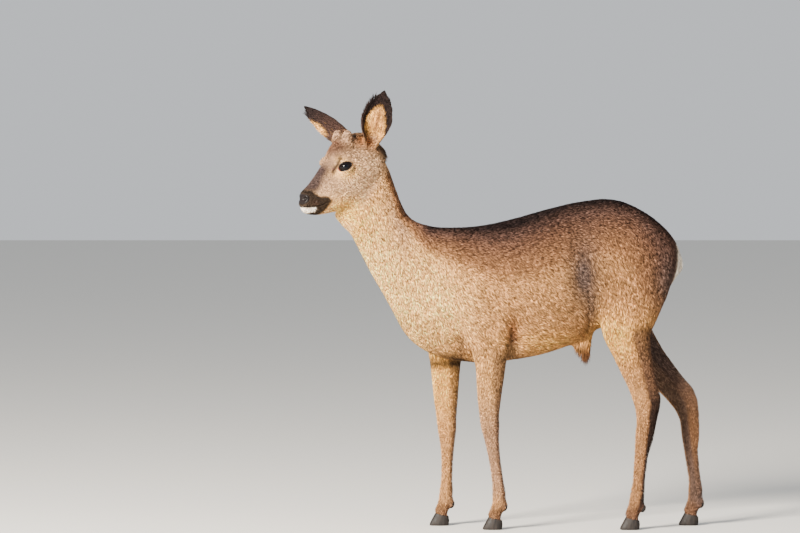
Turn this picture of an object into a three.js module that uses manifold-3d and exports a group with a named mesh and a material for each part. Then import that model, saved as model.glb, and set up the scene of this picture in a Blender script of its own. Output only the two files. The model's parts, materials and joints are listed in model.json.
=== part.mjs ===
// A standing roe deer: a buck kid of nine or ten months in winter coat, life size.
// Millimetres, +Z up. The deer faces -X and its left side faces -Y. It stands on the plane z = 0.
// It is modelled about its own middle plane, y = 0, and moved at the end so that the origin lies
// under the middle of its bounding box.
//
// The body is lofted: a section is a ring of points between two ends seen from the side, such as the
// back and the belly, with a half width across. The lofts are joined to one body, which thin flat
// cuts then part into head, jaw, neck, trunk and the lengths of each leg.
import * as THREE from 'three';
import { LoftGeometry } from 'three/addons/geometries/LoftGeometry.js';
import { mergeVertices } from 'three/addons/utils/BufferGeometryUtils.js';
import Module from 'manifold-3d';

const wasm = await Module();
wasm.setup();

// ---------------------------------------------------------------- driving sizes

const GAP = 0.4; // clearance at every cut between two pieces
const FAR = 3000; // side of the boxes that stand for half spaces
const WITHERS_HEIGHT = 638;
const CROUP_HEIGHT = 697;
// The head is turned to the left, so the box reaches further on that side of the middle plane.
const BOX_MIDDLE = [-0.7, -8.15];

const HEAD = {
  pivot: [-262, 0, 764], // where the head turns on the neck
  yaw: 30, // degrees towards the deer's left
  eyeRadius: 14,
  eye: { x: -97, y: 33.5, z: -2 }, // from the pivot, y for either side
  brow: { ahead: 5, above: -1, size: [28, 14.5, 19] },
  button: { x: -87, y: 20, z: 54, radius: 11.5, height: 20, root: -8, leanBack: 0.12, leanOut: 0.05 },
};

const EAR = { length: 127, wall: 3.2, middle: 0.35, rim: 0.94 };
// ahead is the share of a hoof's length in front of the leg's line, inset how far its top edge lies
// behind the toe, and apart how far each claw stands from the leg's middle.
const HOOF = { length: 43, half: 7.4, apart: 8.2, ahead: 0.58, toeTop: 27, heelTop: 19, inset: 14 };
const DEWCLAW = { radius: 5.5, length: 17, belowFetlock: 30, behind: 13, apart: 8.5, tilt: 22 };
const TAIL = { at: [369, 0, 558], size: [13, 12, 26], tilt: -8 };

// The flat cuts between pieces, each through two points [x, z] seen from the side.
const CUTS = {
  neck: [[-118, 634], [-216, 400]],
  head: [[-236, 790], [-322, 634]],
  elbows: [[60, 392], [-240, 372]],
  groins: [[400, 478], [100, 402]],
};
// Those of the face, in the head's own frame.
const FACE_CUTS = { mouth: [[-60, -66], [-190, -86]], nose: [[-171, -30], [-179, -100]] };
// How steeply the legs are cut at the knee, the hock and the fetlock.
const JOINT_TILTS = { knee: 0, hock: 0.35, fetlock: -0.15 };

// ---------------------------------------------------------------- building blocks

// A closed geometry as a manifold-3d solid with its faces pointing out.
function solid(geometry) {
  const bare = new THREE.BufferGeometry();
  bare.setAttribute('position', geometry.attributes.position);
  bare.setIndex(geometry.index);
  const merged = mergeVertices(bare, 1e-3);
  const triVerts = new Uint32Array(merged.index.array);
  const vertProperties = merged.attributes.position.array;
  const made = new wasm.Manifold(new wasm.Mesh({ numProp: 3, vertProperties, triVerts }));
  if (made.volume() > 0) return made;
  for (let i = 0; i < triVerts.length; i += 3) {
    [triVerts[i + 1], triVerts[i + 2]] = [triVerts[i + 2], triVerts[i + 1]];
  }
  return new wasm.Manifold(new wasm.Mesh({ numProp: 3, vertProperties, triVerts }));
}

// One station of a body: a and b are the section's two ends as [x, z] or [x, z, y], half is its half
// width and bias how much wider it is towards a than towards b.
function station([ax, az, ay = 0], [bx, bz, by = 0], half, bias = 0) {
  const a = new THREE.Vector3(ax, ay, az);
  const b = new THREE.Vector3(bx, by, bz);
  return { a, b, width: new THREE.Vector3(half, bias, 0) };
}

// The ring of points of a section between a and b. grow moves it outwards all round.
function ring(a, b, { x: half, y: bias }, around, grow) {
  const middle = a.clone().add(b).divideScalar(2);
  const arm = a.clone().sub(middle);
  arm.setLength(arm.length() + grow);
  const points = [];
  for (let i = 0; i < around; i++) {
    const angle = (i / around) * 2 * Math.PI;
    const point = middle.clone().addScaledVector(arm, Math.cos(angle));
    point.y += Math.sin(angle) * (half + grow) * (1 + bias * Math.cos(angle));
    points.push(point);
  }
  return points;
}

// A solid through rings of points, each ring put in the order that turns its faces outwards.
function skinned(sections) {
  const [first, next] = sections;
  const turning = new THREE.Vector3();
  const onward = new THREE.Vector3();
  first.forEach((point, i) => {
    turning.add(new THREE.Vector3().crossVectors(point, first[(i + 1) % first.length]));
    onward.add(next[i]).sub(point);
  });
  if (turning.dot(onward) < 0) sections.forEach((section) => section.reverse());
  return solid(new LoftGeometry(sections, { capStart: true, capEnd: true }));
}

// Stations joined by a smooth skin, with some more sections between each two of them.
function loft(stations, { around = 24, between = 2, grow = 0 } = {}) {
  const curve = (key) => new THREE.CatmullRomCurve3(stations.map((s) => s[key]), false, 'catmullrom', 0.5);
  const [ends, others, widths] = [curve('a'), curve('b'), curve('width')];
  const count = (stations.length - 1) * between;
  const sections = [];
  for (let i = 0; i <= count; i++) {
    const t = i / count;
    sections.push(ring(ends.getPoint(t), others.getPoint(t), widths.getPoint(t), around, grow));
  }
  return skinned(sections);
}

// A stretched ball, turned about the Y axis by tilt degrees.
function ball([x, y, z], [rx, ry, rz], { tilt = 0, detail = 18 } = {}) {
  const geometry = new THREE.SphereGeometry(1, detail, Math.round(detail * 0.66));
  geometry.scale(rx, ry, rz).rotateY(THREE.MathUtils.degToRad(tilt)).translate(x, y, z);
  return solid(geometry);
}

// Everything on the side of a plane that its normal points to, kept half a gap away from the plane.
function beyond([x, y, z], normal) {
  const n = new THREE.Vector3(...normal).normalize();
  const turn = new THREE.Quaternion().setFromUnitVectors(new THREE.Vector3(0, 0, 1), n);
  const geometry = new THREE.BoxGeometry(FAR, FAR, FAR);
  geometry.translate(0, 0, FAR / 2 + GAP / 2).applyQuaternion(turn).translate(x, y, z);
  return solid(geometry);
}

// The two sides of a cut through two points seen from the side: [ahead of or above it, the other].
function sides(from, to) {
  const normal = [to[1] - from[1], 0, from[0] - to[0]];
  const opposite = normal.map((value) => -value);
  const point = [from[0], 0, from[1]];
  return [beyond(point, normal), beyond(point, opposite)];
}

// Points turned from the head's own frame into the body's.
function headMatrix() {
  const turn = new THREE.Matrix4().makeRotationZ(THREE.MathUtils.degToRad(HEAD.yaw));
  return new THREE.Matrix4().makeTranslation(...HEAD.pivot).multiply(turn);
}

function placed(made, matrix) {
  return made.transform(matrix.elements);
}

const union = (solids) => solids.reduce((whole, one) => whole.add(one));

// ---------------------------------------------------------------- trunk and neck

// From the buttocks along the back to the poll: back, belly line, half width, bias.
function torsoStations() {
  return [
    station([375, 566], [374, 548], 12),
    station([373, 588], [364, 522], 42),
    station([359, 617], [343, 492], 61),
    station([331, 645], [308, 452], 73),
    station([289, 675], [262, 436], 80, -0.06),
    station([230, CROUP_HEIGHT], [205, 420], 81, -0.1),
    station([163, 690], [159, 391], 82, -0.12),
    station([100, 675], [106, 368], 87, -0.14),
    station([47, 659], [58, 357], 88, -0.14),
    station([-5, 645], [5, 349], 82, -0.12),
    station([-52, WITHERS_HEIGHT - 2], [-47, 347], 74, -0.12),
    station([-94, WITHERS_HEIGHT - 5], [-106, 350], 66, -0.12),
    station([-132, WITHERS_HEIGHT - 5], [-165, 370], 62, -0.1),
    station([-157, WITHERS_HEIGHT], [-203, 397], 56, -0.06),
    station([-179, 643], [-225, 440], 51),
    station([-198, 656], [-248, 484], 47),
    station([-211, 677], [-273, 524], 45),
    station([-220, 706], [-297, 570], 43),
    station([-231, 733], [-316, 611, -3], 42),
    station([-238, 758], [-341, 639, -14], 40),
    station([-250, 780], [-357, 658, -28], 32),
  ];
}

// ---------------------------------------------------------------- head, in its own frame

function headStations() {
  return [
    station([-188, -65], [-187, -77], 8),
    station([-184, -57], [-184, -90], 15, 0.05),
    station([-176, -48], [-175, -99], 19, 0.05),
    station([-165, -37], [-162, -103], 20.5, -0.04),
    station([-152, -22], [-146, -104], 22, -0.08),
    station([-140, -6], [-128, -102], 25, -0.1),
    station([-127, 13], [-108, -99], 30, 0),
    station([-116, 35], [-86, -96], 36, 0.14),
    station([-99, 54], [-64, -92], 40, 0.2),
    station([-70, 65], [-40, -84], 41, 0.2),
    station([-41, 69], [-13, -72], 40, 0.14),
    station([-15, 58], [5, -50], 35, 0.08),
    station([1, 34], [11, -20], 22),
  ];
}

// The skull with the round of each orbit on its sides.
function headSolid(grow = 0) {
  const { ahead, above, size } = HEAD.brow;
  const { x, y, z } = HEAD.eye;
  const skull = loft(headStations(), { around: 18, between: 2, grow });
  const radii = size.map((radius) => radius + grow);
  const orbits = [-1, 1].map((side) =>
    ball([x - ahead, side * (y - 2), z + above], radii, { tilt: 30, detail: 11 }),
  );
  return union([skull, ...orbits]);
}

function eyeSolid(side, grow = 0) {
  const { x, y, z } = HEAD.eye;
  const radius = HEAD.eyeRadius + grow;
  return ball([x, side * y, z], [radius, radius, radius], { detail: 11 });
}

// The furred knobs in front of the ears on which a kid's first antlers will grow.
function buttonSolid(side) {
  const { x, y, z, radius, height, root, leanBack, leanOut } = HEAD.button;
  const profile = [
    [0, root],
    [radius * 1.15, root],
    [radius, height * 0.3],
    [radius * 0.86, height * 0.6],
    [radius * 0.5, height * 0.9],
    [0, height],
  ];
  const geometry = new THREE.LatheGeometry(profile.map((p) => new THREE.Vector2(...p)), 10);
  geometry.rotateX(Math.PI / 2).rotateY(leanBack).rotateX(side * -leanOut).translate(x, side * y, z);
  return solid(geometry);
}

// ---------------------------------------------------------------- ears

// Share of the length, half width, half angle of the wrap and depth of the cup.
const EAR_STATIONS = [
  { at: 0.0, half: 0.4, wrap: 140, cup: 0.5 },
  { at: 0.12, half: 0.56, wrap: 128, cup: 0.6 },
  { at: 0.28, half: 0.83, wrap: 108, cup: 0.62 },
  { at: 0.46, half: 1.0, wrap: 92, cup: 0.56 },
  { at: 0.64, half: 0.88, wrap: 80, cup: 0.46 },
  { at: 0.8, half: 0.6, wrap: 72, cup: 0.34 },
  { at: 0.92, half: 0.3, wrap: 66, cup: 0.2 },
  { at: 1.0, half: 0.07, wrap: 60, cup: 0.08 },
];

// A cupped leaf along +Z that opens towards -Y, with its half width at the widest place.
function earSolid(widest) {
  const arc = 8;
  const sections = EAR_STATIONS.map(({ at, half, wrap, cup }) => {
    const points = [];
    const wall = EAR.wall * (1 - 0.5 * at);
    const breadth = Math.sin(THREE.MathUtils.degToRad(Math.min(wrap, 90)));
    const outer = (share, inset) => {
      const angle = THREE.MathUtils.degToRad(wrap * share);
      const x = ((widest * half - inset) * Math.sin(angle)) / breadth;
      const y = (widest * cup - inset) * (Math.cos(angle) - EAR.middle);
      return new THREE.Vector3(x, y, EAR.length * at);
    };
    for (let i = 0; i <= arc; i++) points.push(outer((2 * i) / arc - 1, 0));
    const inset = Math.min(wall, widest * Math.min(half, cup) * 0.6);
    for (let i = 0; i <= arc; i++) points.push(outer((1 - (2 * i) / arc) * EAR.rim, inset));
    return points;
  });
  return skinned(sections);
}

// Stands an ear on its root, along one direction and open towards another, in the head's frame.
function earPlaced({ root, along, opens, half }) {
  const z = new THREE.Vector3(...along).normalize();
  const y = new THREE.Vector3(...opens).negate();
  y.addScaledVector(z, -y.dot(z)).normalize();
  const x = new THREE.Vector3().crossVectors(y, z);
  const matrix = new THREE.Matrix4().makeBasis(x, y, z).setPosition(...root);
  return placed(earSolid(half), matrix);
}

const EARS = {
  ear_left: { root: [-37, -31, 42], along: [5, -54, 118], opens: [-0.45, -1, 0], half: 32.5 },
  ear_right: { root: [-47, 36, 51], along: [-72, 80, 74], opens: [-0.3, 0.8, -0.75], half: 36 },
};

// ---------------------------------------------------------------- legs

// Each leg follows a line through its joints, from the top: [x, z] seen from the side.
const LEGS = {
  fore_left: {
    side: -1,
    fore: true,
    joints: [[-78, 600], [-66, 480], [-32, 385], [-27, 222], [-9, 76], [-19, 26]],
    spread: [24, 44, 52, 55, 55, 55],
  },
  fore_right: {
    side: 1,
    fore: true,
    joints: [[-92, 600], [-112, 480], [-124, 385], [-116, 206], [-119, 74], [-130, 26]],
    spread: [24, 44, 52, 55, 55, 55],
  },
  hind_left: {
    side: -1,
    fore: false,
    joints: [[262, 600], [270, 505], [262, 405], [300, 264], [291, 165], [281, 74], [269, 26]],
    spread: [42, 46, 50, 55, 57, 58, 58],
  },
  hind_right: {
    side: 1,
    fore: false,
    joints: [[262, 600], [264, 505], [272, 400], [384, 262], [399, 165], [409, 74], [398, 26]],
    spread: [42, 46, 50, 55, 57, 58, 58],
  },
};

// Along a leg: place in joints, reach in front of and behind the line, half width.
const FORE_PROFILE = [
  { at: 0, front: 14, back: 24, half: 15 },
  { at: 0.5, front: 42, back: 56, half: 31 },
  { at: 1, front: 66, back: 78, half: 36 },
  { at: 1.5, front: 54, back: 64, half: 34 },
  { at: 2, front: 36, back: 46, half: 29 },
  { at: 2.3, front: 29, back: 35, half: 23 },
  { at: 2.65, front: 26, back: 26, half: 19 },
  { at: 2.9, front: 22, back: 20, half: 17 },
  { at: 3.02, front: 21, back: 20, half: 17 },
  { at: 3.2, front: 16, back: 16, half: 13.5 },
  { at: 3.45, front: 12.5, back: 13, half: 11.5 },
  { at: 3.8, front: 12, back: 13, half: 11.5 },
  { at: 4, front: 14, back: 16, half: 14 },
  { at: 4.35, front: 12.5, back: 13.5, half: 13 },
  { at: 4.75, front: 13.5, back: 14, half: 14.5 },
  { at: 5, front: 15, back: 15, half: 15 },
];

const HIND_PROFILE = [
  { at: 0, front: 40, back: 44, half: 30 },
  { at: 0.5, front: 66, back: 80, half: 38 },
  { at: 1, front: 80, back: 86, half: 41 },
  { at: 1.5, front: 70, back: 66, half: 38 },
  { at: 2, front: 50, back: 47, half: 30 },
  { at: 2.4, front: 36, back: 38, half: 23 },
  { at: 2.72, front: 29, back: 31, half: 18 },
  { at: 2.92, front: 27, back: 33, half: 17.5 },
  { at: 3.08, front: 24, back: 29, half: 17 },
  { at: 3.35, front: 21, back: 22, half: 15 },
  { at: 3.7, front: 19, back: 21, half: 13.5 },
  { at: 4.1, front: 15, back: 15, half: 12 },
  { at: 4.7, front: 13, back: 13.5, half: 12 },
  { at: 5, front: 15, back: 17, half: 14.5 },
  { at: 5.35, front: 13, back: 14.5, half: 13.5 },
  { at: 5.75, front: 14, back: 15, half: 15 },
  { at: 6, front: 15.5, back: 15.5, half: 15.5 },
];

function legStations({ side, fore, joints, spread }) {
  const line = new THREE.CatmullRomCurve3(
    joints.map(([x, z], i) => new THREE.Vector3(x, side * spread[i], z)),
    false,
    'catmullrom',
    0.5,
  );
  const last = joints.length - 1;
  return (fore ? FORE_PROFILE : HIND_PROFILE).map(({ at, front, back, half }) => {
    const p = line.getPoint(at / last);
    const t = line.getTangent(at / last);
    const length = Math.hypot(t.x, t.z);
    const ahead = [t.z / length, -t.x / length];
    const a = [p.x + ahead[0] * front, p.z + ahead[1] * front];
    const b = [p.x - ahead[0] * back, p.z - ahead[1] * back];
    return station([...a, p.y], [...b, p.y], half);
  });
}

// The cut through a leg at one of its joints: [above, below].
function jointCut(leg, number, tilt) {
  const [x, z] = leg.joints.at(number);
  const reach = 100;
  return sides([x + reach, z + reach * tilt], [x - reach, z - reach * tilt]);
}

// One of the two claws of a hoof, with its sole on the floor.
function hoofSolid(leg, inner) {
  const [x] = leg.joints.at(-1);
  const { length, half, apart, ahead, toeTop, heelTop, inset } = HOOF;
  const y = leg.side * (leg.spread.at(-1) + (inner ? -apart : apart));
  const toe = x - length * ahead;
  const heel = toe + length;
  return loft(
    [
      station([toe + 0.5, 0, y], [heel - 1, 0, y], half * 0.94, -0.3),
      station([toe + 2, 5, y], [heel, 5, y], half, -0.28),
      station([toe + 7, 14, y], [heel + 0.5, 11, y], half, -0.24),
      station([toe + inset, toeTop, y], [heel - 0.5, heelTop, y], half * 0.94, -0.16),
    ],
    { around: 12, between: 1 },
  );
}

// The small spare claws behind and above the hoof.
function dewclawSolid(leg, inner, legGrown) {
  const [x, z] = leg.joints.at(-2);
  const { radius, length, belowFetlock, behind, apart, tilt } = DEWCLAW;
  const y = leg.side * (leg.spread.at(-2) + (inner ? -apart : apart));
  const size = [radius, radius * 0.8, length / 2];
  return ball([x + behind, y, z - belowFetlock], size, { tilt, detail: 8 }).subtract(legGrown);
}

// ---------------------------------------------------------------- tail and sheath

// The stub of a tail, hidden in the white rump patch.
const tailSolid = () => ball(TAIL.at, TAIL.size, { tilt: TAIL.tilt, detail: 9 });

// The brush of long hair on a buck's sheath, under the belly.
function sheathSolid() {
  return loft(
    [
      station([150, 404], [196, 424], 17),
      station([155, 386], [193, 400], 15),
      station([166, 368], [188, 376], 9),
      station([174, 357], [180, 360], 3),
    ],
    { around: 12, between: 2 },
  );
}

// ---------------------------------------------------------------- assembly

const COLOURS = {
  coat: 0x8a7460,
  neck: 0xa08c75,
  leg: 0x9a8062,
  horn: 0x1c1917,
  eye: 0x120d0a,
  nose: 0x17151a,
  ear: 0x4a3a2e,
  rump: 0xe8e0d2,
};

const deer = new THREE.Group();

// Adds the largest body of a solid as a named piece.
function add(name, made, colour, roughness = 0.9) {
  const bodies = made.decompose().sort((one, other) => other.volume() - one.volume());
  const { numProp, vertProperties, triVerts } = bodies[0].getMesh();
  const position = new Float32Array((vertProperties.length / numProp) * 3);
  for (let i = 0; i < position.length / 3; i++) {
    position.set(vertProperties.subarray(i * numProp, i * numProp + 3), i * 3);
  }
  const geometry = new THREE.BufferGeometry();
  geometry.setAttribute('position', new THREE.BufferAttribute(position, 3));
  geometry.setIndex(new THREE.BufferAttribute(new Uint32Array(triVerts), 1));
  geometry.computeVertexNormals();
  const finish = new THREE.MeshStandardMaterial({ color: colour, roughness, metalness: 0 });
  const mesh = new THREE.Mesh(geometry, finish);
  mesh.name = name;
  deer.add(mesh);
}

const legSolid = (leg, grow = 0) => loft(legStations(leg), { around: 14, between: 1, grow });

// The line along which a leg is cut from the trunk, at the elbow or the groin: [above, below].
const trunkCut = ({ fore }) => sides(...(fore ? CUTS.elbows : CUTS.groins));

// The trunk and neck with the shoulders and thighs that bulge from them.
function fleshSolid(grow = 0) {
  const torso = loft(torsoStations(), { around: 30, between: 1, grow });
  const masses = Object.values(LEGS).map((leg) => legSolid(leg, grow).intersect(trunkCut(leg)[0]));
  return union([torso, ...masses]);
}

function addLeg(name, leg, torsoGrown) {
  const free = legSolid(leg).intersect(trunkCut(leg)[1]).subtract(torsoGrown);
  const { knee, hock, fetlock } = JOINT_TILTS;
  const [aboveMiddle, belowMiddle] = jointCut(leg, 3, leg.fore ? knee : hock);
  const [aboveFetlock, belowFetlock] = jointCut(leg, -2, fetlock);
  const front = leg.joints.at(-1)[0] - HOOF.length * HOOF.ahead + HOOF.inset;
  const fall = (HOOF.toeTop - HOOF.heelTop) / (HOOF.length - HOOF.inset);
  const top = HOOF.toeTop + GAP;
  const [aboveCoronet] = sides([front + 100, top - 100 * fall], [front - 100, top + 100 * fall]);
  add(`${name}_${leg.fore ? 'forearm' : 'gaskin'}`, free.intersect(aboveMiddle), COLOURS.leg);
  add(`${name}_cannon`, free.intersect(belowMiddle).intersect(aboveFetlock), COLOURS.leg);
  add(`${name}_pastern`, free.intersect(belowFetlock).intersect(aboveCoronet), COLOURS.leg);
  const grown = legSolid(leg, GAP);
  for (const inner of [true, false]) {
    const which = inner ? 'inner' : 'outer';
    add(`${name}_hoof_${which}`, hoofSolid(leg, inner), COLOURS.horn, 0.4);
    add(`${name}_dewclaw_${which}`, dewclawSolid(leg, inner, grown), COLOURS.horn, 0.4);
  }
}

function addHead(flesh) {
  const toBody = headMatrix();
  const inHead = (made) => placed(made, toBody);
  const [neckSide, trunkSide] = sides(...CUTS.neck);
  const [headSide, belowHead] = sides(...CUTS.head);
  const eyeRoom = union([-1, 1].map((side) => inHead(eyeSolid(side, GAP))));
  const front = union([flesh.intersect(neckSide), inHead(headSolid())]).subtract(eyeRoom);
  const head = front.intersect(headSide);
  const [upperFace, lowerFace] = sides(...FACE_CUTS.mouth).map(inHead);
  const [noseSide, faceSide] = sides(...FACE_CUTS.nose).map(inHead);
  add('trunk', flesh.intersect(trunkSide), COLOURS.coat);
  add('neck', front.intersect(belowHead), COLOURS.neck);
  add('head', head.intersect(upperFace).intersect(faceSide), COLOURS.coat);
  add('nose', head.intersect(upperFace).intersect(noseSide), COLOURS.nose, 0.35);
  add('lower_jaw', head.intersect(lowerFace), COLOURS.neck);
  const grown = inHead(headSolid(GAP));
  const buttons = { right: 1, left: -1 };
  for (const [name, side] of Object.entries(buttons)) {
    add(`eye_${name}`, inHead(eyeSolid(side)), COLOURS.eye, 0.1);
    add(`pedicle_${name}`, inHead(buttonSolid(side)).subtract(grown), COLOURS.coat);
  }
  for (const [name, ear] of Object.entries(EARS)) {
    add(name, inHead(earPlaced(ear)).subtract(grown), COLOURS.ear);
  }
}

const flesh = fleshSolid();
const fleshGrown = fleshSolid(GAP);
const torsoGrown = loft(torsoStations(), { around: 30, between: 1, grow: GAP });
addHead(flesh);
for (const [name, leg] of Object.entries(LEGS)) addLeg(name, leg, torsoGrown);
add('tail', tailSolid().subtract(fleshGrown), COLOURS.rump);
add('sheath', sheathSolid().subtract(fleshGrown), COLOURS.coat);
deer.position.set(-BOX_MIDDLE[0], -BOX_MIDDLE[1], 0);

export default deer;
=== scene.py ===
# %% [markdown]
# # A roe deer in its winter coat
# A museum keeper mounts a young roe buck over a carved form: a skin is drawn over the form, glass
# eyes are set in it, and the hooves stay the animal's own. This lesson follows the same order. The packed
# solids are the form. They reach out to the tips of the hair, so the skin is drawn a coat's depth
# inside them, and the hair is laid over it again as thousands of small closed locks.

# %% The form, as a fixed frame
import json
import math

import bpy
import numpy as np
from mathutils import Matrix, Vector
from mathutils.bvhtree import BVHTree

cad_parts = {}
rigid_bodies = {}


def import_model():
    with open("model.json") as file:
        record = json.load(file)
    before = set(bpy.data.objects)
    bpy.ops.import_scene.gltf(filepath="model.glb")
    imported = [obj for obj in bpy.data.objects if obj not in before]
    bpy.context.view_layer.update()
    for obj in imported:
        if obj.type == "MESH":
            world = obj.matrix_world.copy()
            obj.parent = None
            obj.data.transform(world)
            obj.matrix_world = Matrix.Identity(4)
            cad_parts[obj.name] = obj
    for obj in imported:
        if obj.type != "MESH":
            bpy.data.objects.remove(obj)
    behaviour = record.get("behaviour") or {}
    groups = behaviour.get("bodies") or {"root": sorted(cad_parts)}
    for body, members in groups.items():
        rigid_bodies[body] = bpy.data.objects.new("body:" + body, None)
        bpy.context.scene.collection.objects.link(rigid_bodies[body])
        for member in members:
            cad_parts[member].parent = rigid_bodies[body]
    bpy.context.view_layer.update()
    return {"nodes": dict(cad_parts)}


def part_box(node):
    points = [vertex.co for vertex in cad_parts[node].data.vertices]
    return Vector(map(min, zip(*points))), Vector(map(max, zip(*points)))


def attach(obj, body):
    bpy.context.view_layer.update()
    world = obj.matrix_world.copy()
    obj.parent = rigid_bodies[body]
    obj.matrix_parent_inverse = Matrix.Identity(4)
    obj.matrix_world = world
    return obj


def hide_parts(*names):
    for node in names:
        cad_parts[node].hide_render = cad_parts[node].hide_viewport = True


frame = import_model()
rng = np.random.default_rng(18)
MM = 0.001

# %% [markdown]
# ## Places on the animal
# It is easiest to think about the animal's own middle plane, with y = 0 through its spine. The form
# stands a little to the side of that, because its turned head counts in its box, so the helpers that
# read and write points take the difference off and put it back. The head is turned on the neck and
# has a frame of its own: x runs from the nose back to the nape, y to the deer's right, and z up, all from
# the joint of the skull. Each ear has its length as z and its open side towards -y. The legs are lines
# through their joints.

# %% Frames of the head and ears, and the lines of the legs
MIDDLE = np.array([0.0007, 0.00815, 0.0])
HEAD_PIVOT = np.array([-0.262, 0, 0.764])
HEAD_YAW = math.radians(30)
EYE = np.array([-0.0975, 0.0322, -0.0025])
EYE_RADIUS = 0.0150
EARS = {
    "left": {
        "root": (-0.037, -0.031, 0.042),
        "along": (5, -54, 118),
        "opens": (-0.45, -1, 0),
        "half": 0.0325,
    },
    "right": {
        "root": (-0.047, 0.036, 0.051),
        "along": (-72, 80, 74),
        "opens": (-0.3, 0.8, -0.75),
        "half": 0.036,
    },
}
EAR_LENGTH = 0.127
LEGS = {
    "fore_left": [(-0.078, 0.600), (-0.066, 0.480), (-0.032, 0.385), (-0.027, 0.222), (-0.009, 0.076),
                  (-0.019, 0.026)],
    "fore_right": [(-0.092, 0.600), (-0.112, 0.480), (-0.124, 0.385), (-0.116, 0.206), (-0.119, 0.074),
                   (-0.130, 0.026)],
    "hind_left": [(0.262, 0.600), (0.270, 0.505), (0.262, 0.405), (0.300, 0.264), (0.281, 0.074),
                  (0.269, 0.026)],
    "hind_right": [(0.262, 0.600), (0.264, 0.505), (0.272, 0.400), (0.384, 0.262), (0.409, 0.074),
                   (0.398, 0.026)],
}
LEG_SPREAD = 0.055


def unit(vectors):
    vectors = np.asarray(vectors, float)
    return vectors / np.maximum(np.linalg.norm(vectors, axis=-1, keepdims=True), 1e-9)


def head_axes():
    c, s = math.cos(HEAD_YAW), math.sin(HEAD_YAW)
    return np.array([[c, s, 0], [-s, c, 0], [0, 0, 1]])


def to_head(points):
    return (points - HEAD_PIVOT) @ head_axes().T


def from_head(points):
    return points @ head_axes() + HEAD_PIVOT


def ear_axes(side):
    z = unit(EARS[side]["along"])
    y = -np.array(EARS[side]["opens"], float)
    y = unit(y - z * (y @ z))
    return np.array([np.cross(y, z), y, z])


def to_ear(points, side):
    return (to_head(points) - np.array(EARS[side]["root"])) @ ear_axes(side).T


def ramp(value, low, high):
    """0 below low and 1 above high, with a smooth rise between."""
    t = np.clip((value - low) / (high - low), 0, 1)
    return t * t * (3 - 2 * t)


def mirrored(points):
    """The same points with those of the left side moved over to the right."""
    return np.column_stack([points[:, 0], np.abs(points[:, 1]), points[:, 2]])


def in_space(flat):
    """Ways drawn on the side view, as ways in space."""
    return np.column_stack([flat[:, 0], np.zeros(len(flat)), flat[:, 1]])


def mound(points, centre, reach):
    """1 at the centre, falling off smoothly over the reach."""
    return np.exp(-(((points - np.array(centre)) / np.array(reach)) ** 2).sum(1))


def line_gap(flat, line):
    """The distance of flat points from a drawn line, and the nearest place's share of the way along it."""
    line = np.array(line)
    best, share = np.full(len(flat), 9.0), np.zeros(len(flat))
    for i in range(len(line) - 1):
        step = line[i + 1] - line[i]
        t = np.clip((flat - line[i]) @ step / (step @ step), 0, 1)
        gap = np.linalg.norm(flat - line[i] - t[:, None] * step, axis=1)
        nearer = gap < best
        best[nearer] = gap[nearer]
        share[nearer] = (i + t[nearer]) / (len(line) - 1)
    return best, share


def within(flat, outline, soft):
    """1 inside a drawn outline and 0 outside it, with an edge as soft as asked."""
    closed = list(outline) + [outline[0]]
    gap = line_gap(flat, closed)[0]
    inside = np.zeros(len(flat), bool)
    for (x0, z0), (x1, z1) in zip(closed, closed[1:]):
        if z0 != z1:
            level = (z0 > flat[:, 1]) != (z1 > flat[:, 1])
            inside ^= level & (flat[:, 0] < x0 + (flat[:, 1] - z0) * (x1 - x0) / (z1 - z0))
    return ramp(np.where(inside, gap, -gap), -soft, soft)


def along_leg(points, name):
    """For each point: its distance from the leg's line, its share of the way down, and the line's way."""
    line = np.array(LEGS[name])
    side = -1 if name.endswith("left") else 1
    gap, share = line_gap(points[:, [0, 2]], line)
    part = np.minimum((share * (len(line) - 1)).astype(int), len(line) - 2)
    step = unit(np.diff(line, axis=0))[part]
    return np.hypot(gap, points[:, 1] - side * LEG_SPREAD), share, in_space(step)


print("frames ready; the head is turned", round(math.degrees(HEAD_YAW)), "degrees")

# %% [markdown]
# ## Finding regions
# Everything later asks where on the animal a point lies: how deep the coat is there, which way it lies
# and what colour it has. A few soft weights answer that. Each is 1 inside its region and fades out over
# its border, so that nothing changes in a hard line.

# %% Region weights
SKULL = {"centre": (-0.035, 0, 0.02), "reach": (0.075, 0.046, 0.056)}
BUTTON = {"centre": (-0.0875, 0.0205, 0.066), "reach": (0.017, 0.015, 0.019)}
OFF_SKULL, OFF_BUTTON = (0.92, 1.05), (0.25, 0.50)
EAR_SPACE = {"across": 0.045, "open side": -0.03, "back": 0.034, "height": 0.15}
EAR_FOOT = (0.0, 0.016)
POLL = {"x": -0.236, "z": 0.790, "along": -0.086, "up": 0.156, "length": 0.178, "soft": (-0.012, 0.012)}
CHEST = {"x": -0.118, "z": 0.634, "slope": -0.42, "soft": (-0.02, 0.02)}
ELBOW = {"z": 0.392, "before": 0.08}
GROIN = {"x": 0.1, "z": 0.4, "slope": 0.25, "behind": 0.178}
LEG_TOP, LEG_REACH = (-0.012, 0.03), (0.05, 0.07)


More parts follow.
